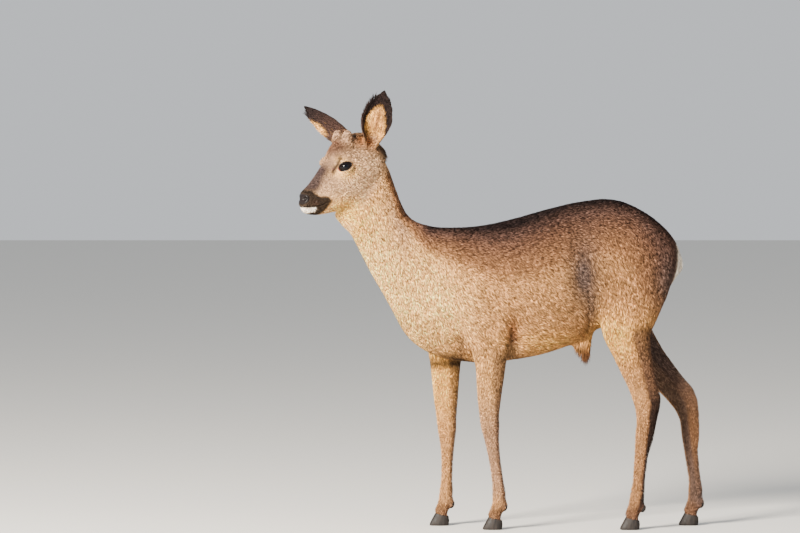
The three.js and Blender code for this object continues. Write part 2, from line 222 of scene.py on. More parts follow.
def ear_weight(points):
    """1 on the ears beyond the skull, and the ear's own height above its root."""
    ears, height = np.zeros(len(points)), np.zeros(len(points))
    skull = (to_head(points) - np.array(SKULL["centre"])) / np.array(SKULL["reach"])
    button = mound(mirrored(to_head(points)), BUTTON["centre"], BUTTON["reach"])
    off_skull = ramp(np.linalg.norm(skull, axis=1), *OFF_SKULL) * (1 - ramp(button, *OFF_BUTTON))
    for side in EARS:
        q = to_ear(points, side)
        inside = (np.abs(q[:, 0]) < EAR_SPACE["across"]) & (q[:, 2] < EAR_SPACE["height"])
        inside &= (q[:, 1] > EAR_SPACE["open side"]) & (q[:, 1] < EAR_SPACE["back"])
        own = inside * ramp(q[:, 2], *EAR_FOOT) * off_skull
        height = np.where(own > ears, q[:, 2], height)
        ears = np.maximum(ears, own)
    return ears, height


def regions(points):
    """Soft weights from 0 to 1 for the head, the ears, the neck, the trunk and the legs."""
    x, z = points[:, 0], points[:, 2]
    ahead_of_poll = ((POLL["z"] - z) * POLL["along"] + (POLL["x"] - x) * POLL["up"]) / POLL["length"]
    head = ramp(ahead_of_poll, *POLL["soft"])
    ears, ear_height = ear_weight(points)
    fore = ramp(ELBOW["z"] - z, *LEG_TOP) * (x < ELBOW["before"])
    below_groin = GROIN["z"] + (x - GROIN["x"]) * GROIN["slope"] - z
    hind = ramp(below_groin, *LEG_TOP) * (x > GROIN["behind"])
    leg, share, nearest = np.zeros(len(points)), np.zeros(len(points)), np.full(len(points), 9.0)
    way = np.zeros((len(points), 3))
    for name in LEGS:
        gap, down, line = along_leg(points, name)
        own = gap < nearest
        nearest[own], share[own], way[own] = gap[own], down[own], line[own]
        weight = fore if name.startswith("fore") else hind
        leg = np.maximum(leg, weight * (1 - ramp(gap, *LEG_REACH)))
    ahead_of_chest = ramp(-x + CHEST["x"] - (z - CHEST["z"]) * CHEST["slope"], *CHEST["soft"])
    neck = ahead_of_chest * (1 - head) * (1 - leg) * (1 - ears)
    trunk = (1 - ahead_of_chest) * (1 - leg) * (1 - head)
    return {
        "head": head * (1 - ears),
        "ears": ears,
        "neck": neck,
        "trunk": trunk,
        "leg": leg * (1 - head),
        "share": share,
        "way": way,
        "ear_height": ear_height,
    }


print("weights found with", len(LEGS), "leg lines and", len(EARS), "ear frames")

# %% [markdown]
# ## Reading and reshaping a piece
# Modelling tools are used as by hand: a piece is selected, a modifier is added and applied. Beside
# them, a few helpers read all of a mesh's points at once, move them and write them back, which is what a
# sculptor's brush does too.

# %% Helpers
WELD = 1e-5


def only(*pieces):
    """Leaves just these pieces selected, the first of them active."""
    if bpy.context.object and bpy.context.object.mode != "OBJECT":
        bpy.ops.object.mode_set(mode="OBJECT")
    bpy.ops.object.select_all(action="DESELECT")
    for piece in pieces:
        piece.select_set(True)
    bpy.context.view_layer.objects.active = pieces[0]


def finished(piece, kind, **settings):
    """Adds a modifier to the piece and applies it."""
    only(piece)
    modifier = piece.modifiers.new(kind.lower(), kind)
    for key, value in settings.items():
        setattr(modifier, key, value)
    bpy.ops.object.modifier_apply(modifier=modifier.name)
    return piece


def open_edit(piece, action="SELECT", kind="FACE"):
    """Goes into edit mode on one piece, with all of it or none of it selected."""
    only(piece)
    bpy.ops.object.mode_set(mode="EDIT")
    bpy.ops.mesh.select_mode(type=kind)
    bpy.ops.mesh.select_all(action=action)


def close_edit():
    bpy.ops.object.mode_set(mode="OBJECT")


def edit_faces(piece, chosen):
    """Goes into edit mode with just the chosen faces selected."""
    open_edit(piece, "DESELECT")
    close_edit()
    piece.data.polygons.foreach_set("select", chosen)
    bpy.ops.object.mode_set(mode="EDIT")


def copy_of(nodes, name, swell=0.0):
    """One merged piece with the shapes of these nodes, swollen outwards."""
    copies = []
    for node in nodes:
        piece = bpy.data.objects.new(name, frame["nodes"][node].data.copy())
        piece.data.materials.clear()
        bpy.context.scene.collection.objects.link(piece)
        copies.append(piece)
    only(*copies)
    bpy.ops.object.join()
    whole = bpy.context.object
    whole.name = name
    open_edit(whole)
    bpy.ops.mesh.remove_doubles(threshold=WELD)
    close_edit()
    if swell:
        finished(whole, "DISPLACE", strength=swell, mid_level=0.0)
    return whole


def read(data, key, width, kind=np.float32):
    flat = np.empty(len(data) * width, kind)
    data.foreach_get(key, flat)
    return flat.reshape(-1, width) if width > 1 else flat


def points_of(piece):
    """The piece's points about the animal's middle plane."""
    return read(piece.data.vertices, "co", 3).astype(float) - MIDDLE


def set_points(piece, points):
    piece.data.vertices.foreach_set("co", (points + MIDDLE).astype(np.float32).ravel())
    piece.data.update()


def normals_of(piece):
    return read(piece.data.vertex_normals, "vector", 3).astype(float)


def middles_of(piece):
    """The middles of the piece's faces, about the animal's middle plane."""
    return read(piece.data.polygons, "center", 3).astype(float) - MIDDLE


def edges_of(piece):
    return read(piece.data.edges, "vertices", 2, np.int32)


def eased(points, edges, weight, rounds, push_back=0.0):
    """Moves each point towards the mean of its neighbours, and by push_back out again."""
    count = np.bincount(edges.ravel(), minlength=len(points))[:, None]
    both = np.concatenate([edges[:, 0], edges[:, 1]])
    other = np.concatenate([edges[:, 1], edges[:, 0]])
    for step in ([0.5, -push_back] if push_back else [0.5]) * rounds:
        total = np.column_stack([np.bincount(both, points[other, axis], len(points)) for axis in range(3)])
        points = points + (total / np.maximum(count, 1) - points) * step * weight[:, None]
    return points


def cut_finer(piece, chosen):
    """Subdivides the faces whose middles are chosen by a function of their places."""
    pick = chosen(middles_of(piece))
    edit_faces(piece, pick)
    bpy.ops.mesh.subdivide(number_cuts=1)
    close_edit()
    print(piece.name, "cut finer on", int(pick.sum()), "faces")


# %% [markdown]
# ## The skin
# The flesh of a real animal is one body, with no joints to see. Copies of the solids are
# swollen a little so that the saw cuts between them close, and a voxel remesh melts them into one skin.
# The thin ears are swollen more, or the remesh would tear their rims. The eye sockets are filled too,
# and opened again later, when the lids are made. The skin runs on into the hooves, as flesh does.

# %% The skin in one piece
SKIN_VOXEL = 0.0021
SWELL = {"flesh": 0.4 * MM, "ears": 2.2 * MM, "buttons": 1.2 * MM}
FLESH = ["head", "nose", "lower_jaw", "neck", "trunk", "tail", "sheath", "eye_left", "eye_right"]
for leg in LEGS:
    FLESH += [f"{leg}_{part}" for part in ("forearm" if "fore" in leg else "gaskin", "cannon", "pastern")]
EAR_NODES = ["ear_left", "ear_right"]
BUTTON_NODES = ["pedicle_left", "pedicle_right"]
HORN_NODES = [node for node in frame["nodes"] if "hoof" in node or "dewclaw" in node]


def keep_largest(piece):
    """Drops small loose islands: all that isn't joined to the highest point of the back."""
    points = points_of(piece)
    back = np.where(points[:, 0] > 0, points[:, 2], 0).argmax()
    open_edit(piece, "DESELECT", "VERT")
    close_edit()
    piece.data.vertices[int(back)].select = True
    bpy.ops.object.mode_set(mode="EDIT")
    bpy.ops.mesh.select_linked()
    bpy.ops.mesh.select_all(action="INVERT")
    bpy.ops.mesh.delete(type="VERT")
    close_edit()
    print("kept", len(piece.data.vertices), "of", len(points), "points")


skin = copy_of(FLESH + HORN_NODES, "skin", SWELL["flesh"])
ear_forms = copy_of(EAR_NODES, "ear_forms", SWELL["ears"])
button_forms = copy_of(BUTTON_NODES, "button_forms", SWELL["buttons"])
only(skin, ear_forms, button_forms)
bpy.ops.object.join()
finished(skin, "REMESH", mode="VOXEL", voxel_size=SKIN_VOXEL, adaptivity=0.0)
keep_largest(skin)

# %% [markdown]
# ## The depth of the coat
# The skin now lies at the tips of the hair. It is eased, so that shoulders and thighs flow into the
# trunk, and drawn in by the coat's depth: a finger's breadth on the flanks, next to nothing on the
# face and shins. The same depths later say how high the locks stand.

# %% Drawing the skin in
COAT = {"trunk": 5.2 * MM, "neck": 5.2 * MM, "head": 2.2 * MM, "ears": 0.5 * MM}
SHIN_COAT, THIGH_COAT = 1.8 * MM, 5.0 * MM
MUZZLE_COAT = 1.0 * MM
JOINS = {
    "orbit": ((-0.104, 0.036, 0.002), (0.030, 0.026, 0.024)),
    "throat": ((-0.075, 0.02, -0.09), (0.05, 0.05, 0.045)),
    "jaw and neck": ((-0.030, 0.03, -0.06), (0.035, 0.05, 0.04)),
    "root of the ear": ((-0.040, 0.034, 0.046), (0.022, 0.022, 0.016)),
    "root of the button": ((-0.087, 0.021, 0.055), (0.014, 0.014, 0.008)),
}
KEPT_SHARP = {
    "sheath": ((0.177, 0, 0.372), (0.03, 0.03, 0.04)),
    "tail": ((0.369, 0, 0.556), (0.02, 0.02, 0.03)),
}
THIGH_TO_SHIN, FACE_TO_MUZZLE = (0.3, 0.62), (0.11, 0.15)
SOFT = {"leg": 0.45, "ears": 0.15}
PUSH_BACK = 0.51
ROUNDS = {"remesh": 12, "flesh": 34, "limbs": 16}
LIMB_SOFT = 0.4


def coat_depth(points, where):
    leg = THIGH_COAT + (SHIN_COAT - THIGH_COAT) * ramp(where["share"], *THIGH_TO_SHIN)
    muzzle = ramp(-to_head(points)[:, 0], *FACE_TO_MUZZLE)
    depth = where["leg"] * leg + where["head"] * (COAT["head"] + (MUZZLE_COAT - COAT["head"]) * muzzle)
    for name in ("trunk", "neck", "ears"):
        depth = depth + where[name] * COAT[name]
    return depth


def broad_parts(points, where):
    local = mirrored(to_head(points))
    joins = sum(mound(local, at, reach) for at, reach in JOINS.values())
    sharp = sum(mound(points, at, reach) for at, reach in KEPT_SHARP.values())
    return (where["trunk"] + where["neck"] + joins).clip(0, 1) * (1 - sharp).clip(0, 1)


def draw_in(piece):
    points, edges = points_of(piece), edges_of(piece)
    where = regions(points)
    points = eased(points, edges, np.ones(len(points)), ROUNDS["remesh"], PUSH_BACK)
    soft = broad_parts(points, where) + SOFT["leg"] * where["leg"] + SOFT["ears"] * where["ears"]
    points = eased(points, edges, soft.clip(0, 1), ROUNDS["flesh"])
    set_points(piece, points)
    swell = SWELL["flesh"] + (SWELL["ears"] - SWELL["flesh"]) * where["ears"]
    set_points(piece, points - normals_of(piece) * (coat_depth(points, where) + swell)[:, None])
    limbs = where["ears"] + LIMB_SOFT * where["leg"]
    set_points(piece, eased(points_of(piece), edges, limbs, ROUNDS["limbs"], PUSH_BACK))


draw_in(skin)
print("skin drawn in by", {part: round(depth / MM, 1) for part, depth in COAT.items()}, "mm")

# %% [markdown]
# The skin is far too fine for a smooth flank and too coarse for an eyelid. It is thinned where nothing
# small happens, eased once more there, and cut finer round the mouth and the eyes.

# %% Thinned on the body, finer on the face
BODY_KEPT = 0.22
FACE_LIMIT = -0.118
LID_REACH, RIM_REACH = 0.0270, 0.0208
OUTSIDE, FULL = 0.02, 1000.0
AGAIN = 0.8


def near_eye(reach):
    eyes = from_head(np.array([EYE, EYE * (1, -1, 1)]))
    return lambda p: np.min([np.linalg.norm(p - eye, axis=1) for eye in eyes], axis=0) < reach


def thin_the_body(piece):
    where = regions(points_of(piece))
    group = piece.vertex_groups.new(name="body")
    body = (where["head"] < OUTSIDE) & (where["ears"] < OUTSIDE)
    group.add(np.flatnonzero(body).tolist(), 1.0, "REPLACE")
    finished(piece, "DECIMATE", ratio=BODY_KEPT, vertex_group="body", vertex_group_factor=FULL)
    piece.vertex_groups.clear()


def ease_again(piece, rounds_broad, rounds_face):
    points, edges = points_of(piece), edges_of(piece)
    where = regions(points)
    points = eased(points, edges, broad_parts(points, where), rounds_broad)
    points = eased(points, edges, where["head"] * AGAIN, rounds_face)
    set_points(piece, eased(points, edges, where["leg"] * AGAIN, rounds_broad, PUSH_BACK))


thin_the_body(skin)
ease_again(skin, 24, 2)
cut_finer(skin, lambda p: to_head(p)[:, 0] < FACE_LIMIT)
cut_finer(skin, near_eye(LID_REACH))
cut_finer(skin, near_eye(RIM_REACH))
ease_again(skin, 1, 3)
skin_size = sum(len(face.vertices) - 2 for face in skin.data.polygons)
print("skin", len(skin.data.vertices), "points,", skin_size, "triangles")

# %% [markdown]
# ## Muscles, hollows and the face
# Under a winter coat only the larger forms of a deer show: the point of the shoulder, the hollow of the
# flank in front of the thigh, the stifle, the hock. Each is a soft mound or dent at a named place,
# the same on both sides. The head is where the eye looks first, so the orbit, the pit in front of the
# eye, the nostrils and the line of the mouth are shaped in the head's own frame.

# %% Forms of the body and face
BODY_FORMS = {
    "shoulder blade": ((-0.098, 0.055, 0.560), (0.018, 0.05, 0.06), 3.5),
    "hollow before the blade": ((-0.142, 0.05, 0.570), (0.02, 0.05, 0.05), -4.0),
    "point of the shoulder": ((-0.150, 0.055, 0.452), (0.036, 0.05, 0.04), 4.0),
    "hollow behind the elbow": ((0.034, 0.08, 0.425), (0.028, 0.05, 0.045), -4.0),
    "crease behind the elbow": ((0.021, 0.08, 0.400), (0.011, 0.05, 0.040), -12.0),
    "elbow": ((-0.002, 0.075, 0.402), (0.016, 0.04, 0.030), 4.0),
    "upper arm": ((-0.060, 0.075, 0.445), (0.035, 0.05, 0.045), 3.0),
    "crease before the arm": ((-0.092, 0.065, 0.392), (0.012, 0.05, 0.024), -7.0),
    "last ribs": ((0.090, 0.085, 0.480), (0.05, 0.05, 0.09), 2.0),
    "flank hollow": ((0.162, 0.082, 0.545), (0.024, 0.05, 0.075), -10.0),
    "fold of the flank": ((0.184, 0.07, 0.440), (0.013, 0.05, 0.055), -8.0),
    "stifle": ((0.214, 0.085, 0.440), (0.020, 0.05, 0.050), 4.0),
    "haunch": ((0.235, 0.085, 0.565), (0.045, 0.05, 0.08), 4.0),
    "hip": ((0.215, 0.06, 0.665), (0.04, 0.05, 0.03), 3.0),
    "groove of the hamstring": ((0.325, 0.075, 0.540), (0.016, 0.05, 0.07), -3.5),
    "hock": ((0.318, 0.058, 0.272), (0.012, 0.03, 0.014), 2.0),
}
FACE_FORMS = {
    "cheek": ((-0.058, 0.036, -0.045), (0.028, 0.03, 0.026), 2.0),
    "under the cheekbone": ((-0.105, 0.03, -0.045), (0.022, 0.03, 0.014), -2.0),
    "temple": ((-0.062, 0.036, 0.020), (0.016, 0.03, 0.018), -2.0),
    "side of the nose": ((-0.150, 0.018, -0.048), (0.022, 0.02, 0.010), -1.6),
    "wing of the nostril": ((-0.178, 0.014, -0.064), (0.007, 0.008, 0.006), 1.8),
    "upper lip": ((-0.160, 0.018, -0.079), (0.022, 0.02, 0.006), 1.6),
    "lower lip": ((-0.158, 0.018, -0.092), (0.020, 0.02, 0.006), 0.8),
    "chin": ((-0.176, 0.0, -0.096), (0.014, 0.014, 0.008), 1.2),
}
NOSTRIL = {"centre": (-0.1850, 0.0112, -0.0695), "reach": (0.0060, 0.0040, 0.0038), "depth": 6.5 * MM}
MOUTH = [(-0.205, -0.0870), (-0.172, -0.0868), (-0.150, -0.0830), (-0.128, -0.0740)]
MOUTH_DEPTH, MOUTH_WIDTH = 2.4 * MM, 1.4 * MM
CLAW_HEEL = {"from_middle": (-0.004, 0, 0.006), "reach": (0.010, 0.012, 0.012), "rise": 4.5 * MM}
FOLD = [
    (-0.0980, 0.0163), (-0.1050, 0.0153), (-0.1108, 0.0127), (-0.1168, 0.0053),
    (-0.1198, -0.0050), (-0.1205, -0.0153), (-0.1168, -0.0206),
]
FOLD_DEPTH, FOLD_WIDTH, FOLD_PAINT, FOLD_BARE = 2.0 * MM, 1.6 * MM, 3.9 * MM, 2.5 * MM
LINE_START, LINE_END = (0.0, 0.2), (0.8, 1.0)
INTO_NOSTRIL = (1.0, 0, 0.1)


def drawn(local, line, width, thin_start=True):
    """1 on a line drawn on the side of the head, fading across it and towards its ends."""
    gap, share = line_gap(local[:, [0, 2]], line)
    ends = 1 - ramp(share, *LINE_END)
    if thin_start:
        ends = ends * ramp(share, *LINE_START)
    return np.exp(-((gap / width) ** 2)) * ends


def mouth_line(local):
    return drawn(local, MOUTH, MOUTH_WIDTH, False)


def shape_body(piece):
    points, normals = points_of(piece), normals_of(piece)
    side = mirrored(points)
    rise = sum(mound(side, at, reach) * mm for at, reach, mm in BODY_FORMS.values())
    local = mirrored(to_head(points))
    head = regions(points)["head"]
    face = sum(mound(local, at, reach) * mm for at, reach, mm in FACE_FORMS.values())
    moved = points + normals * ((rise * (1 - head) + face * head) * MM)[:, None]
    nostril = mound(local, NOSTRIL["centre"], NOSTRIL["reach"]) * NOSTRIL["depth"]
    into = from_head(np.array([INTO_NOSTRIL])) - HEAD_PIVOT
    moved += into * nostril[:, None]
    grooves = mouth_line(local) * MOUTH_DEPTH + drawn(local, FOLD, FOLD_WIDTH) * FOLD_DEPTH
    moved -= normals * (grooves * head)[:, None]
    for node in HORN_NODES:
        if "dewclaw" in node:
            heel = np.mean(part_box(node), axis=0) - MIDDLE + CLAW_HEEL["from_middle"]
            moved += normals * (mound(points, heel, CLAW_HEEL["reach"]) * CLAW_HEEL["rise"])[:, None]
    set_points(piece, moved)


shape_body(skin)
print(len(BODY_FORMS), "forms on the body,", len(FACE_FORMS), "on the face")

# %% [markdown]
# ## Eyelids
# A roe deer's eye is a large dark ball that shows through an almond-shaped opening, with its
# inner corner lower and drawn out towards the nose. The skin over the ball is first pushed onto a
# sphere a little larger than the eye, and inside the almond it is sunk behind the ball, which
# leaves lids with a real edge. Points close to the almond's line are put right on it, so that the
# edge runs smoothly. A crease follows above the upper lid, and a pit lies before the inner corner.

# %% Opening the lids
LID = {"back": 70.0, "front": 84.0, "up": 38.0, "down": 35.0, "power": 1.6}
LID_THICKNESS, LID_SUNK = 1.2 * MM, 2.4 * MM
RIM_SNAP = 0.075
SIDES = {"left": -1, "right": 1}
LID_SPACE = {"distance": 0.03, "rim": 3}
LID_HOLD = {"rim": (1.15, 1.75), "distance": (0.019, 0.028), "degrees": (68, 92)}
CREASE_START = (0, 12)
GAZE = unit([-0.50, 0.86, 0.06])
LID_SLOPE = -0.36
CREASE = {"at": 1.5, "wide": 0.12, "deep": 0.9 * MM}
TEAR_PIT = {"centre": (-0.1215, 0.033, -0.014), "reach": (0.0032, 0.02, 0.009), "deep": 2.6 * MM}


def eye_axes(side):
    """Unit vectors from the eye: forward along the lids, up across them and out of the head."""
    out = GAZE * (1, side, 1)
    forward = np.array([-1.0, 0, LID_SLOPE])
    forward = unit(forward - out * (forward @ out))
    up = np.cross(out, forward)
    return np.array([forward, up * np.sign(up[2]), out])


def almond(u, v):
    """1 on the rim of the opening, less inside it. u and v are degrees along and across the lids."""
    length = np.where(u > 0, LID["front"], LID["back"])
    height = np.where(v > 0, LID["up"], LID["down"])
    power = LID["power"]
    return (np.abs(u / length) ** power + np.abs(v / height) ** power) ** (1 / power)


def lid_place(local, side):
    """Where points lie about one eye: distance, and degrees along and across the lids."""
    q = (local - EYE * (1, side, 1)) @ eye_axes(side).T
    distance = np.linalg.norm(q, axis=1)
    off = np.degrees(np.arccos(np.clip(q[:, 2] / distance, -1, 1)))
    flat = unit(q[:, :2])
    return distance, flat[:, 0] * off, flat[:, 1] * off


def lid_point(u, v, distance, side):
    """The point of the head's frame at these degrees and this distance from an eye."""
    off = np.radians(np.hypot(u, v))
    flat = unit(np.column_stack([u, v]))
    q = np.column_stack([flat * np.sin(off)[:, None], np.cos(off)]) * np.asarray(distance).reshape(-1, 1)
    return q @ eye_axes(side) + EYE * (1, side, 1)


def open_lids(piece):
    local = to_head(points_of(piece))
    for side in SIDES.values():
        distance, u, v = lid_place(local, side)
        rim = almond(u, v)
        near = (distance < LID_SPACE["distance"]) & (rim < LID_SPACE["rim"])
        snapped = near & (np.abs(rim - 1) < RIM_SNAP)
        u, v = np.where(snapped, u / rim, u), np.where(snapped, v / rim, v)
        crease = CREASE["deep"] * np.exp(-(((rim - CREASE["at"]) / CREASE["wide"]) ** 2))
        crease = crease * ramp(v, *CREASE_START)
        shell = EYE_RADIUS + LID_THICKNESS - crease
        sunk = near & ~snapped & (rim < 1)
        hold = (1 - ramp(rim, *LID_HOLD["rim"])) * (1 - ramp(distance, *LID_HOLD["distance"]))
        hold = hold * (1 - ramp(np.hypot(u, v), *LID_HOLD["degrees"]))
        wanted = np.where(sunk, EYE_RADIUS - LID_SUNK, shell)
        length = distance + (wanted - distance) * np.where(sunk, 1, hold)
        local[near] = lid_point(u[near], v[near], length[near], side)
    folded = mirrored(local)
    pit = mound(folded, TEAR_PIT["centre"], TEAR_PIT["reach"]) * TEAR_PIT["deep"]
    local[:, 1] -= np.sign(local[:, 1]) * pit
    set_points(piece, from_head(local))


open_lids(skin)
print("lids open over eyes of", round(EYE_RADIUS * 2 / MM, 1), "mm")

# %% [markdown]
# ## The lie of the coat
# Hair never points just anywhere. From the bridge of the nose it runs back over the head, down the
# neck and shoulders, back along the ribs and down the haunches and legs. A few combed places,
# seen from the side, say which way it lies there, and everywhere else takes a blend of the nearest.

# %% Combing
BODY_COMB = [
    ((-0.09, 0.62), (0.95, -0.20)), ((0.10, 0.66), (1.0, -0.05)), ((0.25, 0.69), (0.9, -0.4)),
    ((0.36, 0.60), (0.25, -1.0)), ((0.27, 0.56), (0.5, -0.85)), ((0.25, 0.46), (0.25, -1.0)),
    ((0.12, 0.50), (0.8, -0.55)), ((0.05, 0.37), (0.9, -0.3)), ((-0.05, 0.48), (0.75, -0.65)),
    ((-0.13, 0.52), (0.45, -0.9)), ((-0.20, 0.44), (0.35, -0.95)), ((-0.24, 0.62), (0.45, -0.9)),
    ((-0.235, 0.73), (0.5, -0.85)), ((-0.32, 0.64), (0.45, -0.9)),
]
HEAD_COMB = [
    ((-0.17, -0.04), (0.8, 0.5)), ((-0.10, 0.03), (0.75, 0.66)), ((-0.05, 0.06), (0.9, 0.3)),
    ((-0.06, -0.03), (0.95, -0.3)), ((-0.12, -0.09), (0.95, -0.1)), ((-0.02, -0.02), (0.7, -0.7)),
]
EYE_PARTING = 0.024
COMB_SOFT, COMB_POWER = 2e-4, 1.5
EAR_AROUND, EAR_THROUGH, EAR_BELOW, EAR_FAN = 0.045, 0.035, -0.01, 6


def around_ear(q):
    """True for points beside an ear, in the ear's own frame."""
    return (np.abs(q[:, 0]) < EAR_AROUND) & (np.abs(q[:, 1]) < EAR_THROUGH)


def combed(flat, comb):
    """Blends the combed places: those near a point count far more than those far away."""
    way = np.zeros((len(flat), 2))
    for place, direction in comb:
        near = 1 / (((flat - place) ** 2).sum(1) + COMB_SOFT) ** COMB_POWER
        way += near[:, None] * unit(direction)
    return unit(way)


def coat_way(points, normals, where):
    """The direction in which the coat lies, along the surface."""
    way = in_space(combed(points[:, [0, 2]], BODY_COMB))
    way = way * (1 - where["leg"])[:, None] + where["way"] * where["leg"][:, None]
    local = mirrored(to_head(points))
    face = in_space(combed(local[:, [0, 2]], HEAD_COMB))
    from_eye = local - EYE
    parting = np.exp(-((from_eye ** 2).sum(1) / EYE_PARTING**2))[:, None]
    face = face + unit(from_eye) * parting * (1, 0, 1)
    face = face @ head_axes()
    way = way * (1 - where["head"])[:, None] + face * where["head"][:, None]
    for side in EARS:
        q = to_ear(points, side)
        own = where["ears"] * (around_ear(q) & (q[:, 2] > EAR_BELOW))
        fan = in_space(np.column_stack([q[:, 0] * EAR_FAN, np.ones(len(q))]))
        along = unit(fan) @ ear_axes(side) @ head_axes()
        way = way * (1 - own)[:, None] + along * own[:, None]
    way = way - normals * (way * normals).sum(1)[:, None]
    return unit(way)


print(len(BODY_COMB), "combed places on the body,", len(HEAD_COMB), "on the head")

# %% [markdown]
# ## The colours of the coat
# A winter coat is grey-brown, made of hairs that are banded dark and pale. Its hair is darker along the
# spine, and painted shade on the top of the back makes that nearly black; it warms to fawn low on the
# flanks and legs, and pales on the neck. Painted shade also lies in creases and hollows, on sides turned
# from the light and on the front of the face, and painted light on the throat's front and the back of the
# far hock.
# The face has the marks that tell a roe deer: black nose and moustache, white chin, pale ring round the eye
# and dark-rimmed ears with cream fur inside. One function paints skin and locks alike, so both carry
# the same markings. Each mark is a soft patch of one of a few named hair colours.

# %% Painting
HAIR = {
    "fawn": (0.42, 0.215, 0.085),
    "pale fawn": (0.84, 0.475, 0.175),
    "ash": (0.56, 0.345, 0.190),
    "brindle": (0.27, 0.160, 0.105),
    "sand": (0.92, 0.470, 0.110),
    "tawny": (0.24, 0.115, 0.052),
    "chestnut": (0.12, 0.058, 0.034),
    "umber": (0.062, 0.033, 0.025),
    "saddle": (0.011, 0.0068, 0.0065),
    "slate": (0.075, 0.051, 0.045),
    "ginger": (0.23, 0.095, 0.035),
    "russet": (0.15, 0.066, 0.026),
    "cream": (0.56, 0.285, 0.080),
    "white": (0.80, 0.680, 0.550),
    "smoke": (0.055, 0.036, 0.034),
    "black": (0.0065, 0.0050, 0.0050),
    "rose": (0.20, 0.070, 0.060),
}
TOP_LINE = [
    (-0.236, 0.762), (-0.206, 0.672), (-0.158, 0.633), (-0.049, 0.632), (0.011, 0.641),
    (0.072, 0.663), (0.132, 0.6835), (0.217, 0.696), (0.277, 0.686), (0.325, 0.653),
    (0.361, 0.611), (0.377, 0.569),
]
# Darker hair along the back, deepened to nearly black at its top by painted shade, by depth below the line
# of the back.
BACK_HAIR_AND_SHADE = [(0.010, "saddle"), (0.028, "umber"), (0.052, "chestnut"), (0.098, "tawny"), (0.150, "fawn")]
BACK_REACH = [(-0.225, 0.18), (-0.165, 0.35), (-0.10, 0.6), (-0.03, 0.85), (0.06, 1.0)]
BACK_FADE = (0.100, 0.150)
RUMP = {"centre": (0.378, 0, 0.560), "reach": (0.05, 0.036, 0.050), "edge": (0.25, 0.55)}
FULL_MARK, FULL_FACE_MARK = 1.1, 1.15
LIGHT_MARKS = [
    ("pale fawn", (-0.27, 0.05, 0.55), (0.11, 0.3, 0.15), 1.0),
    ("pale fawn", (-0.16, 0.06, 0.47), (0.085, 0.3, 0.085), 0.95),
    # pale throat: its own paler hair, with painted light on the throat's front edge
    ("sand", (-0.335, 0.0, 0.650), (0.045, 0.09, 0.055), 0.8),
    ("brindle", (-0.212, 0.03, 0.665), (0.030, 0.3, 0.075), 0.8),
    ("brindle", (-0.215, 0.03, 0.725), (0.030, 0.3, 0.050), 0.7),
    ("sand", (0.08, 0.06, 0.395), (0.10, 0.3, 0.026), 0.35),
    ("sand", (0.232, 0.10, 0.395), (0.040, 0.3, 0.060), 0.9),
    ("tawny", (0.250, 0.10, 0.545), (0.070, 0.3, 0.080), 0.35),
    ("sand", (0.200, 0.05, 0.415), (0.022, 0.06, 0.030), 0.6),
]
# Dark marks of the body: most are painted shade in creases and hollows and under the brisket, the rump's
# are darker hair with painted shade over it, and the sheath's are its own ginger brush.
SHADE_AND_DARK_MARKS = [
    # painted shade behind the elbow
    ("ginger", (0.016, 0.08, 0.418), (0.015, 0.3, 0.034), 0.95),
    # painted shade in the hollow of the flank and in its fold before the thigh
    ("slate", (0.163, 0.08, 0.540), (0.034, 0.3, 0.070), 0.95),
    ("slate", (0.180, 0.08, 0.470), (0.016, 0.3, 0.045), 0.6),
    # the rump: darker hair, deepened by painted shade on the side turned from the light
    ("umber", (0.355, 0.06, 0.590), (0.038, 0.3, 0.072), 0.95),
    ("slate", (0.345, 0.07, 0.520), (0.032, 0.3, 0.050), 0.7),
    ("ginger", (0.177, 0.0, 0.372), (0.036, 0.03, 0.030), 1.0),
    ("umber", (0.177, 0.0, 0.368), (0.030, 0.03, 0.026), 0.45),
    # painted shade under the brisket
    ("saddle", (-0.112, 0.0, 0.360), (0.050, 0.07, 0.015), 0.9),
    # painted shade in the crease behind the elbow
    ("umber", (0.016, 0.08, 0.380), (0.013, 0.3, 0.036), 0.85),
    # painted shade in the crease before the arm
    ("umber", (-0.090, 0.05, 0.390), (0.010, 0.3, 0.024), 0.75),
]
HEAD_MARKS = [
    ("sand", (-0.095, 0.03, -0.088), (0.045, 0.05, 0.020), 0.7),
    ("sand", (-0.060, 0.0, -0.105), (0.050, 0.03, 0.025), 0.8),
    # darker forehead: its own browner hair, deepened by painted shade on the front of the face
    ("chestnut", (-0.112, 0.0, 0.036), (0.044, 0.050, 0.026), 1.0),
    ("brindle", (-0.120, 0.018, 0.008), (0.026, 0.014, 0.022), 0.6),
    # dark bridge of the nose: its own darker hair, deepened by painted shade on the front of the face
    ("smoke", (-0.150, 0.0, -0.012), (0.050, 0.036, 0.021), 1.0),
    ("smoke", (-0.176, 0.0, -0.040), (0.018, 0.036, 0.016), 0.8),
    ("brindle", (-0.148, 0.020, -0.038), (0.026, 0.012, 0.014), 0.45),
    ("brindle", (-0.060, 0.0, 0.066), (0.025, 0.03, 0.020), 0.5),
    ("ginger", (-0.030, 0.034, 0.040), (0.020, 0.022, 0.016), 0.75),
    ("black", (-0.013, 0.032, 0.038), (0.015, 0.018, 0.026), 0.95),
    ("sand", (-0.099, 0.045, -0.014), (0.026, 0.03, 0.014), 0.45),
    ("pale fawn", (-0.108, 0.040, 0.011), (0.010, 0.03, 0.007), 0.75),
    ("pale fawn", (-0.106, 0.040, -0.019), (0.018, 0.03, 0.007), 0.6),
    ("ginger", (-0.058, 0.027, 0.051), (0.022, 0.020, 0.018), 1.0),
    ("umber", (-0.073, 0.021, 0.062), (0.007, 0.015, 0.016), 0.85),
    ("brindle", (-0.088, 0.020, 0.066), (0.015, 0.016, 0.016), 0.75),
    ("rose", (-0.1215, 0.033, -0.0075), (0.0030, 0.02, 0.0022), 0.9),
]
